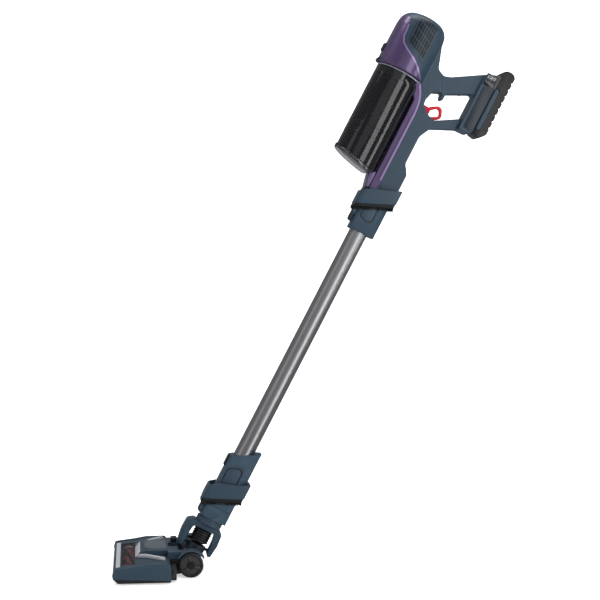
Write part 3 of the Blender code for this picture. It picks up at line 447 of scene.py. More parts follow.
head_form = spun("head_form", [(0, 1086.8), (22, 1086.4), (33, 1083), (41, 1076.5), (45.8, 1068), (47.6, 1056),
                               (48, 1040), (48, 974), (0, 974)], 72, across=(BIN_U, 0))
spine_outline = rounded([(-21, 776, 0), (-21, 757, 0), (32, 757, 2), (32, 811, 4), (20, 829, 5), (20, 885, 20),
                         (31, 907, 12), (80, 931, 0), (98, 932, 4), (103.7, 938, 3), (103.7, 1056, 5),
                         (82, 1049, 30), (22, 1011, 14), (8, 1006, 8), (-6, 1012, 9), (-19, 1050, 30),
                         (-26, 1076, 12), (-60, 1086, 30), (-66, 1086, 0), (-66, 973, 0), (-50, 971.5, 10),
                         (-36, 962, 14), (-21.5, 940, 16)], 5)
gap_outline = rounded([(-1.5, 950, 5), (4, 970, 6), (20, 977, 2), (22.5, 967, 2), (27.5, 963.5, 1), (28, 978, 3),
                       (76, 1003, 5), (76, 953, 5), (29, 924, 4), (12, 930, 4), (0, 942, 3)], 4)
spine_form = outline_mesh("spine_form", spine_outline, -20, 20, holes=(gap_outline,))
grip_cut = rounded([(8, 1000, 0), (26, 960, 8), (76, 985, 0), (76, 1100, 0), (8, 1100, 0)], 4)
for side in (-1, 1):
    low, high = sorted((side * 16.6, side * 40))
    combine(spine_form, outline_mesh("grip_trim", grip_cut, low, high), 'DIFFERENCE')
    arm_trim = [(32, 890), (32, 938), (40, 962), (75.5, 980), (75.5, 890)]
    low, high = sorted((side * 13.2, side * 40))
    combine(spine_form, outline_mesh("arm_trim", arm_trim, low, high), 'DIFFERENCE')
mount_outline = rounded([(76, 931, 4), (98, 932, 5), (103.7, 938, 4), (103.7, 1057, 4), (76, 1044, 6)], 4)
combine(spine_form, outline_mesh("mount_form", mount_outline, -23.8, 23.8), 'UNION')
combine(head_form, spine_form, 'UNION')


def voxel_soft(piece, size, passes):
    """Melts hard corners into moulded ones: an even remesh, then smoothing."""
    step = piece.modifiers.new("even", 'REMESH')
    step.mode = 'VOXEL'
    step.voxel_size = size * MM
    step = piece.modifiers.new("melt", 'SMOOTH')
    step.factor = 0.5
    step.iterations = passes
    return baked(piece)


voxel_soft(head_form, 1.25, 9)


GROOVE, SHELL_GAP = 0.35, 0.12
blue_region = [(u + GROOVE, v + GROOVE) for u, v in SEAM] + [(140, 735), (140, 1120), (-104 + GROOVE, 1120)]
purple_region = SEAM + [(-40, 735), (-140, 735), (-140, 1120), (-104, 1120)]
purple_form = object_of("front_cover_look", head_form.data.copy())
combine(purple_form, outline_mesh("purple_region", purple_region, -WIDE, WIDE), 'INTERSECT')
combine(head_form, outline_mesh("blue_region", blue_region, -WIDE, WIDE), 'INTERSECT')
nozzle_outline = rounded([(-21.5, 790, 0), (-33, 786, 3), (-33, 779, 4), (-28, 757.2, 2), (-21.5, 757.2, 0)], 4)
nozzle_front = softened(outline_mesh("nozzle_front", nozzle_outline, -20, 20), 3.0, 4)
dressed(nozzle_front, PURPLE, "handheld")


for form in (purple_form, head_form):
    bay = spun("bay", [(0, 1060), (39, 1060), (39, 955), (0, 955)], 48, across=(BIN_U, 0))
    combine(form, bay, 'DIFFERENCE')
combine(head_form, block("trigger_room", -4.5, 27, -5.4, 5.4, 918, 948), 'DIFFERENCE')
combine(purple_form, block("release_room", -122, -104, -8.6, 8.6, 993.6, 1011.4), 'DIFFERENCE')
left_form = object_of("handle_shell_left_look", head_form.data.copy())
head_form.name = "handle_shell_right_look"
combine(left_form, block("left_side", -200, 200, SHELL_GAP, 80, 700, 1200), 'INTERSECT')
combine(head_form, block("right_side", -200, 200, -80, -SHELL_GAP, 700, 1200), 'INTERSECT')
dressed(head_form, BLUE, "handheld", "handle_shell_right", smooth=45)
dressed(left_form, BLUE, "handheld", "handle_shell_left", smooth=45)
dressed(purple_form, PURPLE, "handheld", "front_cover", smooth=45)


# ---------------------------------------------------------------- Exhaust grille
# Rows of upright slots moulded into the sides and the crown of the head, framed by a black line painted as the shade
# of a fine groove.
# The slots are dark recesses with raised ribs between them, made by one rule.
def stamped(tree, spots, shape, **feeds):
    """Ends a geometry tree with a copy of a shape at every point."""
    copies = wired(tree, "GeometryNodeInstanceOnPoints", feeds={"Points": spots, "Instance": shape, **feeds})
    whole = wired(tree, "GeometryNodeRealizeInstances", feeds={"Geometry": copies.outputs["Instances"]})
    wired(tree, "NodeGroupOutput", feeds={"Geometry": whole.outputs["Geometry"]})


def slots_tree(name, pitch, columns, rows):
    """A grid of slot bars on a flat plane: columns across, rows up. Gives the tree and its size sockets."""
    tree = bpy.data.node_groups.new(name, 'GeometryNodeTree')
    socket(tree, "Geometry", 'Geometry')
    sizes = {word: socket(tree, word) for word in ("Bar Width", "Bar Height", "Bar Depth")}
    socket(tree, "Geometry", 'Geometry', way='OUTPUT')
    given = wired(tree, "NodeGroupInput").outputs
    grid = wired(tree, "GeometryNodeMeshGrid",
                 feeds={"Size X": pitch[0] * (columns - 1) * MM, "Size Y": pitch[1] * (rows - 1) * MM,
                        "Vertices X": columns, "Vertices Y": rows})
    size = wired(tree, "ShaderNodeCombineXYZ",
                 feeds={"X": given["Bar Width"], "Y": given["Bar Height"], "Z": given["Bar Depth"]})
    bar = wired(tree, "GeometryNodeMeshCube", feeds={"Vertices Y": 5, "Size": size.outputs["Vector"]})
    stamped(tree, grid.outputs["Mesh"], bar.outputs["Mesh"])
    return tree, sizes


def grown(name, made, base=None, **sizes):
    """Runs a geometry tree with its sizes set, in metres, and keeps the plain mesh."""
    tree, sockets = made
    holder = object_of(name, base or bpy.data.meshes.new(name))
    step = holder.modifiers.new("grow", 'NODES')
    step.node_group = tree
    for word, value in sizes.items():
        step[sockets[word.replace("_", " ")].identifier] = value
    return baked(holder)


BESIDE, ABOVE = 0.09, 1.15
STRIP_LOW, STRIP_HIGH, STRIP_STEP = -0.4, 0.12, 2.0


def surface_of(*pieces):
    """The finished outside of some pieces, for laying details on it."""
    points, faces = [], []
    for piece in pieces:
        start = len(points)
        points += [vertex.co.copy() for vertex in piece.data.vertices]
        faces += [[start + k for k in face.vertices] for face in piece.data.polygons]
    return BVHTree.FromPolygons(points, faces)


def laid_on(piece, tree, side=0):
    """Drops a flat piece onto a surface: across the machine by side, or down the stick from its end."""
    fall = Vector((0, -side, 0)) if side else STICK.to_3x3() @ Vector((0, 0, -1))
    axis = 1 if side else 2
    for vertex in piece.data.vertices:
        local = STICK.inverted() @ vertex.co
        height = local[axis]
        local[axis] = side * BESIDE if side else ABOVE
        start = STICK @ local
        hit = tree.ray_cast(start, fall)[0] or tree.find_nearest(start)[0]
        vertex.co = hit - fall * height
    if side < 0:
        piece.data.flip_normals()
    return piece


def lofted(name, rings):
    """A closed strip through rings of four points."""
    shape = bmesh.new()
    rows = [[shape.verts.new(spot) for spot in ring] for ring in rings]
    for first, second in zip(rows, rows[1:]):
        for k in range(4):
            shape.faces.new((first[k], first[(k + 1) % 4], second[(k + 1) % 4], second[k]))
    shape.faces.new(rows[0][::-1])
    shape.faces.new(rows[-1])
    bmesh.ops.recalc_face_normals(shape, faces=shape.faces)
    return object_from(name, shape)


def ribbon(name, path, width, aside=0.0):
    """A thin strip along a path in the stick's side plane, ready to be laid on a surface."""
    dense = []
    for (a, b), (c, d) in zip(path, path[1:]):
        count = max(1, round(hypot(c - a, d - b) / STRIP_STEP))
        dense += [(a + (c - a) * k / count, b + (d - b) * k / count) for k in range(count)]
    dense.append(path[-1])
    rings = []
    for k, (u, v) in enumerate(dense):
        before, after = dense[max(k - 1, 0)], dense[min(k + 1, len(dense) - 1)]
        run = Vector((after[0] - before[0], after[1] - before[1])).normalized()
        near, far = aside - width / 2, aside + width / 2
        rings.append([STICK @ (Vector((u - run.y * reach, height, v + run.x * reach)) * MM)
                      for reach, height in ((near, STRIP_LOW), (near, STRIP_HIGH), (far, STRIP_HIGH),
                                            (far, STRIP_LOW))])
    return lofted(name, rings)


HOUSING = surface_of(head_form, left_form, purple_form)
SEAM_HIGHLIGHT_LILAC = finish_material("painted_seam_highlight", (0.17, 0.12, 0.25), 0.3, 0.4, wear_and_highlight=0.2, coat_weight=0.3)
GROOVE_SHADE_PURPLE = finish_material("painted_groove_shade", (0.018, 0.01, 0.032), 0.4, 0.2, wear_and_highlight=0.1)
SLOT_SIZE = {"Bar_Width": 0.0038, "Bar_Depth": 0.0016}
SLOT_SINK, SLOT_SLANT = 0.62, 0.42
side_slots = slots_tree("vent_slots", (5.4, 15.8), 7, 4)
crown_slots = slots_tree("crown_slots", (5.4, 9.0), 6, 4)
for side, word in ((-1, "right"), (1, "left")):
    slots = grown("vent_slots_" + word, side_slots, Bar_Height=0.0138, **SLOT_SIZE)
    for point in slots.data.vertices:
        u, v, height = point.co / MM
        point.co = STICK @ (Vector((u - 62.5, height - SLOT_SINK, v + 1048.0 - u * SLOT_SLANT)) * MM)
    laid_on(slots, HOUSING, side)
    dressed(slots, BLACK, "handheld")
    # The black line round the side vents is painted shade of a fine groove.
    frame_path = [(-84, 1072), (-84, 1031), (-43, 1001.5), (-40.5, 1003), (-40, 1062)]
    dressed(laid_on(ribbon("vent_groove_shade_" + word, frame_path, 1.1), HOUSING, side), BLACK, "handheld")
    # A lighter purple strip along the seam is a painted highlight on the cover's edge.
    edge = ribbon("seam_highlight_" + word, SEAM[3:17], 3.0, -2.0)
    dressed(laid_on(edge, HOUSING, side), SEAM_HIGHLIGHT_LILAC, "handheld")
    # A darker copy of the purple down the spine is painted shade standing in for a groove.
    groove_shade_strip = ribbon("spine_groove_shade_" + word, [(-12.6, 922), (-12.6, 776)], 2.4)
    dressed(laid_on(groove_shade_strip, HOUSING, side), GROOVE_SHADE_PURPLE, "handheld")
crown = grown("crown_slots", crown_slots, Bar_Height=0.0076, **SLOT_SIZE)
for point in crown.data.vertices:
    u, y, height = point.co / MM
    point.co = STICK @ (Vector((u - 61.0, y, height - SLOT_SINK)) * MM)
dressed(laid_on(crown, HOUSING), BLACK, "handheld", "vent_grille")


# ---------------------------------------------------------------- Handle fittings
# Gloss panel with two keys, the red trigger ring, the bin release and its hook roller.
# The key marks are plain signs: a cell outline and a drop.
SEAL = finish_material("pale_seal", (0.34, 0.36, 0.4), 0.4, wear_and_highlight=0.0)
RED = finish_material("red_plastic", (0.42, 0.002, 0.014), 0.4, wear_and_highlight=0.1, bump=0.02, specular_ior_level=0.2)
WHITE = finish_material("white_trim", (0.34, 0.35, 0.37), 0.4, wear_and_highlight=0.1, bump=0.02)

refined("control_panel", GLOSS, "handheld", 0.5)
refined("power_key", NAVY, "power_key", 0.4)
refined("mode_key", NAVY, "mode_key", 0.4)
cell_outline = [(81.4, 1041), (89.4, 1041), (89.4, 1042.2), (90.4, 1042.2), (90.4, 1044.6), (89.4, 1044.6),
                (89.4, 1045.8), (81.4, 1045.8)]
cell_hole = [(82.2, 1041.8), (88.6, 1041.8), (88.6, 1045.0), (82.2, 1045.0)]
drop_ring, drop_hole = ([(94.5 + radius * cos(a), 1043.6 + radius * sin(a))
                         for a in [radians(k * 20) for k in range(18)]] for radius in (2.6, 1.9))
for name, sign, hole in (("cell_sign", cell_outline, cell_hole), ("drop_sign", drop_ring, drop_hole)):
    dressed(outline_mesh(name, sign, -24.75, -24.55, holes=(hole,)), SEAL, "handheld")

ring_outer = rounded([(12, 930, 5), (17, 919, 8), (43.5, 934, 9.5), (34, 958.6, 9.5), (12.5, 945, 5)], 8)
ring_inner = rounded([(17.2, 932.8, 4), (19.8, 927.4, 4.5), (37.2, 937.3, 5.5), (30.8, 951.4, 5.5),
                      (17.4, 940.4, 3.5)], 8)
root_outline = rounded([(-1, 932.5, 2), (14.5, 931, 1), (15.5, 943.5, 1), (0, 944, 3)], 4)
pin_room = [(0, 6), (2.3, 6), (2.3, -6), (0, -6)]
trigger_form = softened(outline_mesh("trigger_look", ring_outer, -4.2, 4.2, holes=(ring_inner,)), 1.3, 4)
combine(trigger_form, softened(outline_mesh("trigger_root", root_outline, -4.1, 4.1), 0.8, 3), 'UNION')
combine(trigger_form, spun("pin_room", pin_room, 16, across=(4, 938), along='y'), 'DIFFERENCE')
dressed(trigger_form, RED, "trigger", "trigger", smooth=40)
refined("trigger_pin", BRIGHT_STEEL, "handheld", 0.2)
refined("trigger_switch", BLACK, "handheld", 0.3)
BOARD = finish_material("green_board", (0.012, 0.09, 0.03), 0.5, wear_and_highlight=0.0)
dressed(block("main_board_look", 34, 54, -4.5, 4.5, 989.6, 991.4), BOARD, "handheld", "main_board")

release = block("bin_release_look", -116.6, -106, -8, 8, 995, 1010, soft=1.6)
dressed(release, NAVY, "bin_release", "bin_release")
rail = grown("release_ribs", slots_tree("release_ribs", (2.4, 3.0), 5, 1), Bar_Width=0.001, Bar_Height=0.009,
             Bar_Depth=0.001)
rail.data.transform(STICK @ Matrix.Translation((-0.1167, 0, 1.0025)) @ Matrix.Rotation(radians(90), 4, 'Y'))
dressed(rail, BLACK, "bin_release")
hook = spun("bin_hook_look", [(0, 12), (4.4, 12), (5, 11.4), (5, -11.4), (4.4, -12), (0, -12)], 32,
            across=(-111, 978), along='y')
dressed(hook, BLACK, "handheld", "bin_hook")
track = rounded([(-4, 975, 2), (4, 975, 2), (4, 1012, 2), (-4, 1012, 2)], 4)
dressed(outline_mesh("slider_track", track, -113.9, -113.3, 'u'), BLACK, "handheld")

# Motor, impeller, filter: cast metal and foam, seen only where the covers are open.
CAST = finish_material("cast_metal", (0.42, 0.42, 0.44), 0.4, 0.9, wear_and_highlight=0.2)
FOAM = finish_material("filter_foam", (0.3, 0.31, 0.33), 0.95, wear_and_highlight=0.0, grain=500.0, bump=0.4)
refined("motor_can", CAST, "handheld", 1.0)
refined("impeller", CAST, "impeller", 0.2)
refined("motor_filter", FOAM, "handheld", 1.0)
refined("nozzle", NAVY, "handheld", 0.8)


# ---------------------------------------------------------------- Dust bin
# Smoke-clear cup with a pale seal line at its top, over a black cyclone with a pierced shroud.
# The lid below is clear, slanted, and turns on a pin behind the cup.
SMOKE = finish_material("smoke_clear", (0.003, 0.003, 0.004), 0.1, wear_and_highlight=0.0, tone=0.0, bump=0.0, variation=0.0,
                        alpha=0.88, coat_weight=0.0)
CLEAR = finish_material("clear_lid", (0.02, 0.02, 0.024), 0.06, wear_and_highlight=0.0, tone=0.0, bump=0.0, variation=0.0,
                        alpha=0.75, coat_weight=0.5)

cup_profile = [(29.5, 971.2), (32, 971.0), (37, 968.8), (41.2, 964.6), (43.4, 960), (44, 955), (44, 780),
               (41.9, 780), (41.9, 954), (41.2, 959), (39.5, 963), (36, 966.8), (32, 968.7), (29.5, 969)]
cup = spun("dust_cup", cup_profile, 96, across=(BIN_U, 0))
slope_below = [(-120, 805), (-20, 784), (-20, 700), (-120, 700)]
combine(cup, outline_mesh("slope", slope_below, -WIDE, WIDE), 'DIFFERENCE')
dressed(cup, SMOKE, "dust_bin", "bin_shell", smooth=40)
seal_profile = [(43.0, 972.2), (43.9, 971.9), (43.9, 971.2), (43.0, 970.9), (36, 971.4), (36, 972.0)]
brow_profile = [(31, 970.8), (43.2, 970.8), (43.9, 970), (43.9, 956), (43.4, 960.5), (41.5, 965), (37.2, 969),
                (32, 970.6)]
brow = spun("cup_brow", brow_profile, 96, across=(BIN_U, 0))
combine(brow, block("brow_part", -58, 0, -60, 60, 940, 990), 'DIFFERENCE')
dressed(brow, GLOSS, "dust_bin")
dressed(spun("cup_seal", seal_profile, 96, across=(BIN_U, 0)), SEAL, "dust_bin")
for level in (838, 857):
    ridge = [(44.35, level + 1.2), (44.35, level - 1.2), (43.6, level - 1.8), (43.6, level + 1.8)]
    dressed(spun(f"cup_ridge_{level}", ridge, 96, across=(BIN_U, 0)), SMOKE, "dust_bin")

lid_top = spun("bin_lid_look", [(0, 815), (44.6, 815), (44.6, 760), (0, 760)], 96, across=(BIN_U, 0))
lid_layer = [(-112, 802.4), (-34.4, 786.2), (-34.4, 781), (-40, 781), (-112, 796.9)]
combine(lid_top, outline_mesh("lid_layer", lid_layer, -WIDE, WIDE), 'INTERSECT')
softened(lid_top, 0.9, 3)
dressed(lid_top, CLEAR, "bin_lid", "bin_lid")
knuckle = [(0, 9), (2.7, 9), (3.1, 8.6), (3.1, -8.6), (2.7, -9), (0, -9)]
dressed(spun("lid_knuckle", knuckle, 24, across=(-36, 783.8), along='y'), NAVY, "bin_lid")
dressed(block("lid_catch", -111.2, -106.5, -7, 7, 797.5, 806, soft=1.2), NAVY, "bin_lid")

shroud_profile = [(20, 950), (20.6, 949), (20.6, 946), (20, 945), (20, 876), (20.6, 875), (20.6, 872), (20, 871),
                  (18.4, 871), (18.4, 950)]
shroud = spun("cyclone_shroud_look", shroud_profile, 64, across=(BIN_U, 0))
dressed(shroud, BLACK, "dust_bin", "cyclone_shroud")


def wrapped(piece, pitch_radius, radius, level):
    """Wraps a flat piece around the bin's axis; pitch_radius sets how far it reaches around."""
    for point in piece.data.vertices:
        turn = point.co.x / MM / pitch_radius
        reach = radius * MM + point.co.z
        point.co = (sin(turn) * reach, -cos(turn) * reach, point.co.y + level * MM)
    piece.data.transform(STICK @ Matrix.Translation((BIN_U * MM, 0, 0)))
    return piece


pierce = grown("shroud_holes", slots_tree("shroud_holes", (2.6, 3.2), 44, 20), Bar_Width=0.0012, Bar_Height=0.0014,
               Bar_Depth=0.0004)
dressed(wrapped(pierce, 18.2, 20.1, 910.5), NAVY, "dust_bin")
cone_profile = [(18, 870.4), (24, 868), (30, 863), (31, 860), (31, 856), (29.6, 856), (29, 860), (24, 865),
                (9, 866.5), (11.8, 831), (10.2, 830.4), (6.4, 868)]
cone = spun("cyclone_cone_look", cone_profile, 64, across=(BIN_U, 0))
dressed(cone, BLACK, "dust_bin", "cyclone_cone")
refined("cyclone_collar", GLOSS, "dust_bin", 0.8)
fins = grown("cyclone_fins", slots_tree("cyclone_fins", (9.0, 10.0), 14, 1), Bar_Width=0.0015, Bar_Height=0.016,
             Bar_Depth=0.008)
dressed(wrapped(fins, 20.0, 26.0, 941), BLACK, "dust_bin")


# ---------------------------------------------------------------- Battery
# Ribbed black case that slides onto the rear of the grip, with a blue-grey clip on each side.
# Its back is scalloped so that a thumb can push it off.
CELL = finish_material("cell_sleeve", (0.02, 0.08, 0.2), 0.4, wear_and_highlight=0.0)
case_outline = [(104.1, 937.5), (106, 936), (117, 934), (119.5, 934.6), (127.0, 943.6), (128.2, 946)]
RIB_PITCH = 13.2
for rib in range(9):
    low = 948.5 + rib * RIB_PITCH
    case_outline += [(128.5, low), (128.5, low + 8.2), (126.6, low + 9.6), (126.6, low + 11.6)]
case_outline += [(127.6, 1063.0), (124.5, 1067.4), (119, 1069.6), (110, 1069.0), (106, 1066.4), (104.1, 1064.5)]
case = outline_mesh("battery_case_look", case_outline, -25, 25)
softened(case, 1.0, 2, 28)
for side in (-1, 1):
    low, high = sorted((side * 21.3, side * 40))
    combine(case, block("clip_room", 103, 113.7, low, high, 945.4, 1030.6), 'DIFFERENCE')
dressed(case, BLACK, "battery", "battery_case", smooth=30)
for side, word in ((-1, "right"), (1, "left")):
    low, high = sorted((side * 22.4, side * 27.2))
    clip_outline = rounded([(104.3, 946.3, 3), (113.2, 946.3, 4), (113.2, 1029.7, 4), (104.3, 1029.7, 3)], 5)
    clip = outline_mesh("battery_clip_look_" + word, clip_outline, low, high)
    softened(clip, 1.6, 4)
    dressed(clip, BLUE, "clip_" + word, "battery_clip_" + word)
    refined("battery_cells_" + word, CELL, "battery", 0.8)
edge_outline = rounded([(100.9, 1026.6, 1), (103.7, 1026.6, 1), (103.7, 1053, 1), (81, 1050, 1),
                        (100.9, 1049.9, 0)], 3)
case_line = [(115, 940), (115.8, 940), (115.8, 1064), (115, 1064)]
end_outline = rounded([(83, 940, 3), (102.6, 937, 2), (102.6, 1024, 2), (83, 1024, 2)], 4)
for side in (-1, 1):
    low, high = sorted((side * 24.5, side * 25.3))
    dressed(softened(outline_mesh("end_plate_%d" % side, end_outline, low, high), 0.25, 2), NAVY, "handheld")
    low, high = sorted((side * 24.6, side * 25.1))
    dressed(outline_mesh("panel_edge_%d" % side, edge_outline, low, high), GLOSS, "handheld")
    low, high = sorted((side * 24.9, side * 25.15))
    dressed(outline_mesh("case_line_%d" % side, case_line, low, high), NAVY, "battery")


# ---------------------------------------------------------------- Tube fittings and latches
# Moulded sleeves clamped on the tube's ends, with a recessed panel on each side ringed by painted shade, a flat
# facet down the back and a release lever on a bright pin in front.
FITTING_HALF, PANEL_DEPTH = 20, 1.2


def fitting(name, outline, chamfer, bores, ears=None):
    """A sleeve of square section with rounded front and faceted back corners; ears is the level of a latch pin."""
    lows = [v for _, v in outline]
    plan = rounded([(-20, -20, 7), (21, -20, 2), (31.5, -11, 2), (31.5, 11, 2), (21, 20, 2), (-20, 20, 7)], 6)
    form = outline_mesh(name, plan, min(lows), max(lows), 'v')
    combine(form, outline_mesh("side_cut", outline, -WIDE, WIDE), 'INTERSECT')
    softened(form, chamfer, 3, 50)
    if ears is not None:
        ear = block("ears", -26.5, -18, -12.6, 12.6, ears - 7, ears + 7, soft=1.2)
        combine(ear, block("ear_room", -30, -20.2, -9.3, 9.3, ears - 10, ears + 10), 'DIFFERENCE')
        combine(form, ear, 'UNION')
    for radius, low, high in bores:
        combine(form, spun("bore", [(0, high), (radius, high), (radius, low), (0, low)], 64, across=(TUBE_U, 0)),
                'DIFFERENCE')
    return form


def side_panels(form, corners, body):
    """Sinks a panel into both sides of a fitting, in a gap floored with black as painted shade."""
    shape = rounded(corners, 6)
    mid_u, mid_v = (sum(point[k] for point in shape) / len(shape) for k in (0, 1))
    inner = [(mid_u + (u - mid_u) * 0.86, mid_v + (v - mid_v) * 0.92) for u, v in shape]
    floor = FITTING_HALF - PANEL_DEPTH
    for side in (-1, 1):
        low, high = sorted((side * floor, side * 30))
        combine(form, outline_mesh("panel_room", shape, low, high), 'DIFFERENCE')
        # A black sheet at the floor of the gap round the panel is painted shade.
        low, high = sorted((side * (floor - 0.3), side * (floor + 0.15)))
        dressed(outline_mesh("side_groove_shade", shape, low, high), BLACK, body)
        low, high = sorted((side * floor, side * (FITTING_HALF + 0.2)))
        dressed(softened(outline_mesh("side_plate", inner, low, high), 0.7, 3), BLUE, body)


upper = fitting("tube_upper_fitting_look", [(-20, 677), (31.5, 677), (31.5, 740.6), (-20, 740.6)], 1.6,
                [(17.8, 670, 697), (17.0, 696, 745)], 709)
side_panels(upper, [(-13, 735, 1), (-13, 703, 9), (14, 696, 9), (14, 735, 1)], "tube")
dressed(upper, BLUE, "tube", "tube_upper_fitting")
lower_outline = [(-20, 105.2), (31.5, 105.2), (31.5, 229), (28, 228), (8, 216), (-20, 203)]
lower = fitting("tube_lower_fitting_look", lower_outline, 1.6, [(17.8, 206, 235), (17.0, 100, 207)])
side_panels(lower, [(-15, 146, 1), (15, 146, 1), (15, 192, 9), (-15, 180, 9)], "tube")
dressed(lower, BLUE, "tube", "tube_lower_fitting")
dressed(block("lower_stop", -23.5, -19.4, -8, 8, 180, 203, soft=1.5), NAVY, "tube")


def latch(name, pivot, low, high, body, node):
    """A release lever with three finger ribs and a bright pivot pin."""
    outline = rounded([(-27.6, low + 3, 2), (-21.6, low, 1), (-21.6, high, 1), (-27.6, high - 3, 3)], 4)
    lever = outline_mesh(name, outline, -9, 9)
    softened(lever, 0.9, 3)
    dressed(lever, NAVY, body, node)
    pin = [(0, 12.8), (0.8, 12.8), (1.1, 12.5), (1.1, -12.5), (0.8, -12.8), (0, -12.8)]
    dressed(spun(name + "_pin", pin, 20, across=(-23.8, pivot), along='y'), BRIGHT_STEEL, body)
    for rank in range(3):
        level = low + 5 + rank * 3
        dressed(block(f"{name}_rib_{rank}", -28.2, -27.2, -6.5, 6.5, level, level + 1.3, soft=0.3, segments=2),
                BLACK, body)


latch("upper_latch_look", 709, 688, 718, "upper_latch", "upper_latch")
latch("lower_latch_look", 92, 82, 101, "lower_latch", "lower_latch")


# ---------------------------------------------------------------- Brush sleeves
# Slanted moulded sleeves that slide down over the fittings, each with a fringe of black bristle.
# The bristles are set by rule around the sleeve's lower edge.
BRISTLE = finish_material("black_bristle", (0.003, 0.003, 0.003), 0.75, wear_and_highlight=0.0, bump=0.0)


def bristle_tree():
    """Short tapered hairs standing on the faces of a guide mesh. Gives the tree and its size sockets."""
    tree = bpy.data.node_groups.new("bristle_fringe", 'GeometryNodeTree')
    socket(tree, "Geometry", 'Geometry')
    sizes = {word: socket(tree, word) for word in ("Hair Length", "Hair Radius", "Density")}
    socket(tree, "Geometry", 'Geometry', way='OUTPUT')
    given = wired(tree, "NodeGroupInput").outputs
    spread = wired(tree, "GeometryNodeDistributePointsOnFaces",
                   feeds={"Mesh": given["Geometry"], "Density": given["Density"], "Seed": 7})
    hair = wired(tree, "GeometryNodeMeshCone",
                 feeds={"Vertices": 4, "Radius Top": 0.0001, "Radius Bottom": given["Hair Radius"],
                        "Depth": given["Hair Length"]})
    stamped(tree, spread.outputs["Points"], hair.outputs["Mesh"], Rotation=spread.outputs["Rotation"])
    return tree, sizes


FRINGE = bristle_tree()


def brush_sleeve(word, base):
    """A sleeve with full soft edges, a finger ridge and a fringe; base is its lowest front corner."""
    plan = rounded([(-32, -27, 9), (39, -27, 7), (39, 27, 7), (-32, 27, 9)], 7)
    hole = rounded([(-29.2, -21.2, 4), (33.2, -21.2, 3), (33.2, 21.2, 3), (-29.2, 21.2, 4)], 5)
    sleeve = outline_mesh(word + "_sleeve", plan, base - 5, base + 65, 'v', holes=(hole,))
    side = rounded([(-36, base - 2.2, 0), (42, base + 32.5, 0), (42, base + 61, 0), (12, base + 48, 20),
                    (-16, base + 38, 12), (-36, base + 24, 0)], 6)
    combine(sleeve, outline_mesh("sleeve_side", side, -WIDE, WIDE), 'INTERSECT')
    softened(sleeve, 1.2, 3, 40)
    dressed(sleeve, BLUE, word + "_brush", word + "_brush_band", smooth=40)
    fringe_plan = rounded([(-31, -26, 8), (38, -26, 6), (38, 26, 6), (-31, 26, 8)], 6)
    fringe = outline_mesh(word + "_bristle_core", fringe_plan, base - 15, base + 45, 'v', holes=(hole,))
    core = [(-36, base - 7.2), (42, base + 25.8), (42, base + 32.3), (-36, base - 2.4)]
    combine(fringe, outline_mesh("fringe_side", core, -WIDE, WIDE), 'INTERSECT')
    flat = object_of("fringe_root", fringe.data.copy())
    shape = bmesh.new()
    shape.from_mesh(flat.data)
    down = (STICK.to_3x3() @ Vector((0.4, 0, -0.917))).normalized()
    bmesh.ops.delete(shape, geom=[f for f in shape.faces if f.normal.dot(down) < 0.8], context='FACES')
    shape.to_mesh(flat.data)
    shape.free()
    hairs = grown(word + "_fringe", FRINGE, base=flat.data, Hair_Length=0.0062, Hair_Radius=0.0007,
                  Density=500000.0)
    bpy.data.objects.remove(flat, do_unlink=True)
    dressed(fringe, BRISTLE, word + "_brush", word + "_bristles")
    dressed(hairs, BRISTLE, word + "_brush")


brush_sleeve("upper", 721)
brush_sleeve("lower", 110)


# ---------------------------------------------------------------- Neck
# Coupling plugged into the tube's lower end, a yoke that rolls, the ribbed hose inside it and
# the dark cradle that pitches on the wheel axle.
def rod(name, radius, low, high, across=(0.0, 0.0), along='y', place=STICK, steps=48, edge=0.0):
    """A round bar, with its rims turned back by edge."""
    profile = [(0, high), (radius - edge, high), (radius, high - edge), (radius, low + edge), (radius - edge, low),
               (0, low)]
    if not edge:
        profile = [(0, high), (radius, high), (radius, low), (0, low)]
    return spun(name, profile, steps, place, across, along)


RUBBER = finish_material("black_rubber", (0.005, 0.005, 0.006), 0.42, wear_and_highlight=0.05, tone=0.0, bump=0.0)
ROLL_V, HOSE_U = 24, 1
coupling = fitting("neck_coupling_look", [(-20, 80.5), (31.5, 80.5), (31.5, 104.6), (-20, 104.6)], 1.4, [], 92)
combine(coupling, rod("collar", 25, 69, 79, (TUBE_U, 0), 'v', steps=96, edge=0.9), 'UNION')
combine(coupling, rod("collar_neck", 20.5, 75, 82, (TUBE_U, 0), 'v', steps=96), 'UNION')
combine(coupling, rod("spigot", 16.5, 100, 150, (TUBE_U, 0), 'v', steps=64, edge=0.7), 'UNION')
combine(coupling, rod("bore", 14, 60, 160, (TUBE_U, 0), 'v', steps=64), 'DIFFERENCE')
dressed(coupling, BLUE, "neck", "neck_coupling")
collar_line = [(25.1, 76.2), (25.1, 75.2), (24.6, 74.9), (24.6, 76.5)]
dressed(spun("collar_line", collar_line, 96, across=(TUBE_U, 0)), NAVY, "neck")

yoke_outline = rounded([(-27, 68.7, 3), (-37, 62, 6), (-38, 40, 12), (-34, 15, 5), (-24, 15, 4), (-23, 40, 8),
                        (-21, 57.5, 5), (22, 57.5, 5), (25, 40, 8), (25.5, 15, 4), (33, 15, 5), (36, 40, 12),
                        (34, 62, 6), (27, 68.7, 3)], 8)
yoke = outline_mesh("yoke_look", yoke_outline, -14, 14)
softened(yoke, 2.6, 4, 40)
combine(yoke, rod("air_way", 14, 50, 75, (TUBE_U, 0), 'v', steps=64), 'DIFFERENCE')
combine(yoke, spun("pin_room", [(0, 45), (3.3, 45), (3.3, -45), (0, -45)], 24,
                   place=STICK @ Matrix.Translation((0, 0, ROLL_V * MM)) @ Matrix.Rotation(radians(90), 4, 'Y')),
        'DIFFERENCE')
dressed(yoke, BLUE, "neck", "yoke")

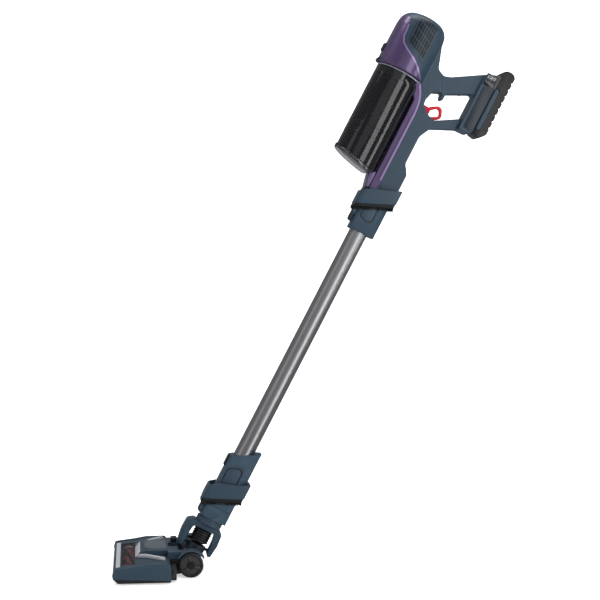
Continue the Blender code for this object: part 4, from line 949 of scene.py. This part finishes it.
hose_profile = [(13.2, 55), (17.1, 55), (17.5, 54.6)]
for rib in range(5):
    level = 55 - rib * 4.68
    hose_profile += [(17.5, level - 1.9), (17.0, level - 2.5), (15.3, level - 2.9), (15.0, level - 3.5),
                     (15.3, level - 4.1), (17.0, level - 4.5), (17.5, level - 5.1)]
hose_profile = hose_profile[:-4] + [(13.2, 31.6)]
hose = dressed(spun("hose_look", hose_profile, 72, across=(HOSE_U, 0)), RUBBER, None, "hose", smooth=50)
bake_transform(hose)

cradle_profile = [(0, 44), (18.6, 44), (20, 42.6), (20, 31.6), (19.2, 31), (19.2, 29.6), (20, 29), (20, -29),
                  (19.2, -29.6), (19.2, -31), (20, -31.6), (20, -42.6), (18.6, -44), (0, -44)]
cradle = spun("cradle_look", cradle_profile, 80, along='y')
combine(cradle, rod("cup", 18.5, 5, 27.5, (HOSE_U, 0), 'v', steps=80, edge=0.8), 'UNION')
for low, high in ((-35, -16), (16, 34)):
    pin = spun("roll_pin", [(0, high), (2.9, high), (2.9, low), (0, low)], 24,
               place=STICK @ Matrix.Translation((0, 0, ROLL_V * MM)) @ Matrix.Rotation(radians(90), 4, 'Y'))
    combine(cradle, pin, 'UNION')
combine(cradle, rod("cup_room", 14, 8, 30, (HOSE_U, 0), 'v', steps=64), 'DIFFERENCE')
combine(cradle, rod("axle_room", 3.4, -50, 50), 'DIFFERENCE')
dressed(cradle, NAVY, "cradle", "cradle")


# ---------------------------------------------------------------- Floor head shell
# Rising cover with a raised middle, a clear window over the brush, side panels and dark sole.
# The rear arms and fenders reach over the wheels.
WINDOW = finish_material("clear_window", (0.01, 0.01, 0.012), 0.05, wear_and_highlight=0.0, tone=0.0, bump=0.0, variation=0.0,
                         alpha=0.22, specular_ior_level=0.3)
SILVER = finish_material("silver_panel", (0.06, 0.072, 0.085), 0.35, 0.0, wear_and_highlight=0.1, bump=0.02, specular_ior_level=0.25)
BRUSH_U, BRUSH_H, AXLE_H = -111, 14.5, 22.5
HUMP, SIDE = 45, 120.3
top_corners = [(-137, 27, 3.5), (-100, 31, 20), (-80, 35, 20), (-50, 35.8, 8)]


def head_sheet(name, outline, low, high, soft=0.0, segments=3, along='y'):
    """A moulded plate in the head's own frame."""
    sheet = outline_mesh(name, outline, low, high, along, place=HEAD)
    return softened(sheet, soft, segments) if soft else sheet


def head_block(name, u0, u1, y0, y1, v0, v1, soft=0.0):
    return block(name, u0, u1, y0, y1, v0, v1, place=HEAD, soft=soft)


def roof(low, high):
    """Outline of a thin layer over the head's top."""
    line = [(-139, 25.5, 0)] + top_corners[1:] + [(-38, 31.5, 0)]
    above, below = (rounded([(u, v + lift, r) for u, v, r in line], 6) for lift in (high, low))
    return above + below[::-1]


cover = head_sheet("head_cover_look", rounded([(-139, 14.3, 0), (-140, 20, 4)] + top_corners
                                              + [(-38.3, 33.5, 3), (-38.3, 14.3, 0)], 8), -SIDE, SIDE, 1.2)
hump = head_sheet("hump", rounded([(-98, 24, 0), (-98.5, 31.5, 3), (-90, 41.5, 5), (-83, HUMP, 6), (-21.5, HUMP, 3),
                                   (-21.5, 30.3, 0), (-45, 24, 0)], 6), -46, 46, 1.8, 4)
combine(cover, hump, 'UNION')
for side in (-1, 1):
    low, high = sorted((side * 45, side * 65.5))
    tail = head_sheet("tail", rounded([(-42, 30.3, 0), (10, 30.3, 2), (12, 33, 2), (8, 40, 6), (0, HUMP, 7),
                                       (-42, HUMP, 0)], 6), low, high, 1.6, 4)
    combine(cover, tail, 'UNION')
    low, high = sorted((side * 60, side * 81))
    sweep_in = [radians(28 + k * 122 / 24) for k in range(25)]
    fender = [(27.5 * cos(a), AXLE_H + 27.5 * sin(a)) for a in sweep_in]
    fender += [(24.5 * cos(a), AXLE_H + 24.5 * sin(a)) for a in reversed(sweep_in)]
    combine(cover, head_sheet("fender", fender, low, high, 0.6, 2), 'UNION')
combine(cover, rod("cradle_room", 20.8, -45.2, 45.2, (0, AXLE_H), place=HEAD, steps=80), 'DIFFERENCE')
combine(cover, head_sheet("notch", [(-40, 50), (-40, 42), (-20, 28), (-20, 50)], -16.5, 16.5), 'DIFFERENCE')
combine(cover, rod("brush_room", 14.6, -106, 106, (BRUSH_U, BRUSH_H), place=HEAD, steps=64), 'DIFFERENCE')
rooms = [(-126.3, -100.7, -93.3, 93.3, 20, 40), (-124, -60, 108, 117, 10, 26.5), (-115, -107, 105, 109, 10, 19),
         (-115, -107, -113, -105, 10, 19), (-72, -68, 105, 109, 10, 24), (-84, -58, 48, 106, 10, 31),
         (-94, -45, -20, 20, 10, 41), (-35, -23, 18, 46, HUMP - 1.3, 50)]
for place_in in rooms:
    combine(cover, head_block("room", *place_in), 'DIFFERENCE')
panel_room = rounded([(-84, -36.5, 17), (-43, -36.5, 4), (-43, 36.5, 4), (-84, 36.5, 17)], 8)
combine(cover, head_sheet("panel_room", panel_room, HUMP - 1.3, 50, along='v'), 'DIFFERENCE')
dressed(cover, BLUE, "floor_head", "head_cover", smooth=38)

base = merged_copy("head_base", "head_base_look")
nose_cut = [(-150, -5), (-130.5, -5), (-130.5, 3), (-140, 11.4), (-150, 11.4)]
combine(base, head_sheet("nose_cut", nose_cut, -130, 130), 'DIFFERENCE')
softened(base, 0.7, 2)
dressed(base, BLACK, "floor_head", "head_base")
dressed(head_block("sole_lip", -126.4, -120.6, -104, 104, 1.2, 3.5, soft=0.6), BLACK, "floor_head")
side_outline = rounded([(-131, 3, 2), (-139.6, 10.5, 3), (-141, 18, 6), (-138, 28.5, 4), (-100, 33, 10),
                        (-80, 36.5, 8), (-44, 36.8, 4), (-37.5, 30, 5), (-36.5, 5, 3), (-45, 3, 3)], 7)
skirt_outline = rounded([(-131, 3.2, 2), (-139.4, 10.8, 1), (-36.9, 6, 1), (-36.7, 4.2, 1), (-45, 3.2, 2)], 4)
for side, word in ((-1, "right"), (1, "left")):
    low, high = sorted((side * (SIDE + 0.3), side * 125))
    panel = head_sheet("side_panel_look_" + word, side_outline, low, high, 1.6, 4)
    low, high = sorted((side * 124.2, side * 128))
    combine(panel, head_sheet("skirt_room", skirt_outline, low, high), 'DIFFERENCE')
    dressed(panel, BLUE, "floor_head", "side_panel_" + word)
    low, high = sorted((side * 124.0, side * 124.9))
    dressed(head_sheet("side_skirt_" + word, skirt_outline, low, high, 0.25, 2), BLACK, "floor_head")

window = head_sheet("brush_window_look", roof(-0.4, 0.9), -93, 93)
combine(window, head_block("window_bounds", -126, -101, -99, 99, 20, 40), 'INTERSECT')
dressed(window, WINDOW, "floor_head", "brush_window")
strip = head_sheet("light_strip_look", roof(0.3, 1.3), -104, 104)
combine(strip, head_block("strip_bounds", -134.8, -127.2, -104, 104, 20, 40), 'INTERSECT')
dressed(strip, WHITE, "floor_head", "light_strip")
wing = [(-89, 46.4), (-98, 46.4), (-55.5, 92), (-46.5, 92)]
for edge, word in ((1, "left"), (-1, "right")):
    arm = head_sheet("trim_arm_look_" + word, [(u, edge * y) for u, y in wing[::edge]], 20, 50, along='v')
    combine(arm, head_sheet("arm_layer", roof(0.3, 6.0), -130, 130), 'INTERSECT')
    softened(arm, 1.2, 3)
    dressed(arm, WHITE, "floor_head", "trim_arm_" + word)
refined("trim_front", WHITE, "floor_head", 0.3)
middle_outline = rounded([(-83.5, -36, 17), (-43.5, -36, 4), (-43.5, 36, 4), (-83.5, 36, 17)], 8)
middle = head_sheet("middle_panel_look", middle_outline, HUMP - 1, HUMP + 1, 0.8, 3, along='v')
dressed(middle, SILVER, "floor_head", "middle_panel")
release = head_block("brush_latch_look", -34.6, -23.4, 18.4, 41.4, HUMP - 1, HUMP + 8, soft=1.4)
dressed(release, BLACK, "brush_latch", "brush_latch")


# ---------------------------------------------------------------- Brush roll and drive
# Red core with four soft red blades and two rows of black bristle, wound half a turn along it,
# and one bright ring. A motor, a belt and a pulley beside it turn it.
BRUSH_RED = finish_material("brush_red", (0.16, 0.002, 0.006), 0.45, wear_and_highlight=0.1)


STATIONS = 72


def helix_strip(name, start, inner, outer, half_width, reach=103.5):
    """A blade that stands on the core and winds half a turn along it."""
    corners = ((inner, -half_width), (outer, -half_width * 0.7), (outer, half_width * 0.7), (inner, half_width))
    rings = []
    for station in range(STATIONS + 1):
        along = reach * (2 * station / STATIONS - 1)
        turn = start + pi * station / STATIONS
        rings.append([HEAD @ (Vector((BRUSH_U + radius * cos(turn) - offset * sin(turn), along,
                                      BRUSH_H + radius * sin(turn) + offset * cos(turn))) * MM)
                      for radius, offset in corners])
    return lofted(name, rings)


roll = spun("brush_roll_look", [(0, 115.5), (5, 115.5), (5, 110), (3, 110), (3, 104), (9.6, 104), (9.6, -104),
                                (3, -104), (3, -112), (0, -112)], 48, place=HEAD, across=(BRUSH_U, BRUSH_H), along='y')
dressed(roll, BRUSH_RED, "brush_roll", "brush_roll")
ring = [(9.6, 75), (13.4, 75), (14, 74.4), (14, 69.6), (13.4, 69), (9.6, 69)]
dressed(spun("brush_ring", ring, 64, place=HEAD, across=(BRUSH_U, BRUSH_H), along='y'), BRIGHT_STEEL, "brush_roll")
for index in range(6):
    start = radians(index * 60)
    if index % 3:
        dressed(helix_strip(f"brush_blade_{index}", start, 9.2, 13.3, 1.1), BRUSH_RED, "brush_roll")
    else:
        root = helix_strip("bristle_root", start, 9.2, 10.0, 1.6, 99.0)
        hairs = grown(f"brush_hair_{index}", FRINGE, base=root.data, Hair_Length=0.0034,
                      Hair_Radius=0.0004, Density=900000.0)
        bpy.data.objects.remove(root, do_unlink=True)
        dressed(hairs, BRISTLE, "brush_roll")
refined("brush_motor", CAST, "floor_head", 0.8)
refined("motor_pulley", CAST, "motor_pulley", 0.3)
refined("drive_belt", RUBBER, "floor_head", 0.2)


# ---------------------------------------------------------------- Wheels
# Soft-edged tyres on spoked discs with a dark hub, a steel axle, and two small front rollers.
HUB_GREY = finish_material("hub_grey", (0.02, 0.02, 0.021), 0.42, wear_and_highlight=0.2)
TRACK = 73.5


def wheel_ring(name, side, profile, steps):
    """A ring turned about the wheel axle; heights run outwards from the tyre's middle."""
    return spun(name, [(r, side * (TRACK + w)) for r, w in profile][::side], steps, place=HEAD,
                across=(0, AXLE_H), along='y')


for side, word in ((-1, "right"), (1, "left")):
    tyre_profile = [(17.6, 6.3), (18.4, 6.5), (21.2, 6.5), (22.1, 5.9), (22.4, 5.0), (22.4, -5.0), (22.1, -5.9),
                    (21.2, -6.5), (18.4, -6.5), (17.6, -6.3)]
    dressed(wheel_ring("wheel_look_" + word, side, tyre_profile, 80), RUBBER, "wheel_" + word, "wheel_" + word)
    disc = wheel_ring("wheel_disc_" + word, side, [(3.5, 3.2), (17.6, 3.2), (17.6, -5.6), (3.5, -5.6)], 64)
    for spoke in range(3):
        low, high = sorted((side * (TRACK + 2.6), side * (TRACK + 5.9)))
        bar = block("spoke", 5, 17.7, low, high, -2.2, 2.2, place=HEAD @ Matrix.Translation((0, 0, AXLE_H * MM))
                    @ Matrix.Rotation(radians(spoke * 120 + 20), 4, 'Y'), soft=0.4, segments=2)
        combine(disc, bar, 'UNION')
    dressed(disc, HUB_GREY, "wheel_" + word)
    hub_profile = [(3.5, 6.4), (6.4, 6.4), (7.2, 5.8), (7.2, 4.0), (3.5, 4.0)]
    dressed(wheel_ring("wheel_hub_" + word, side, hub_profile, 48), BLACK, "wheel_" + word)
    roller = rod("roller_look_" + word, 5, side * 70 - 6.5, side * 70 + 6.5, (-90, 5), place=HEAD, steps=40, edge=0.8)
    dressed(roller, RUBBER, "roller_" + word, "roller_" + word)
axle = rod("wheel_axle_look", 3, -81.2, 81.2, (0, AXLE_H), place=HEAD, steps=40, edge=0.6)
for low, high in ((-82, -81.2), (81.2, 82)):
    cap = rod("axle_cap", 4.6, low, high, (0, AXLE_H), place=HEAD, steps=40, edge=0.3)
    dressed(cap, BLACK, "floor_head")
dressed(axle, BRIGHT_STEEL, "floor_head", "wheel_axle")
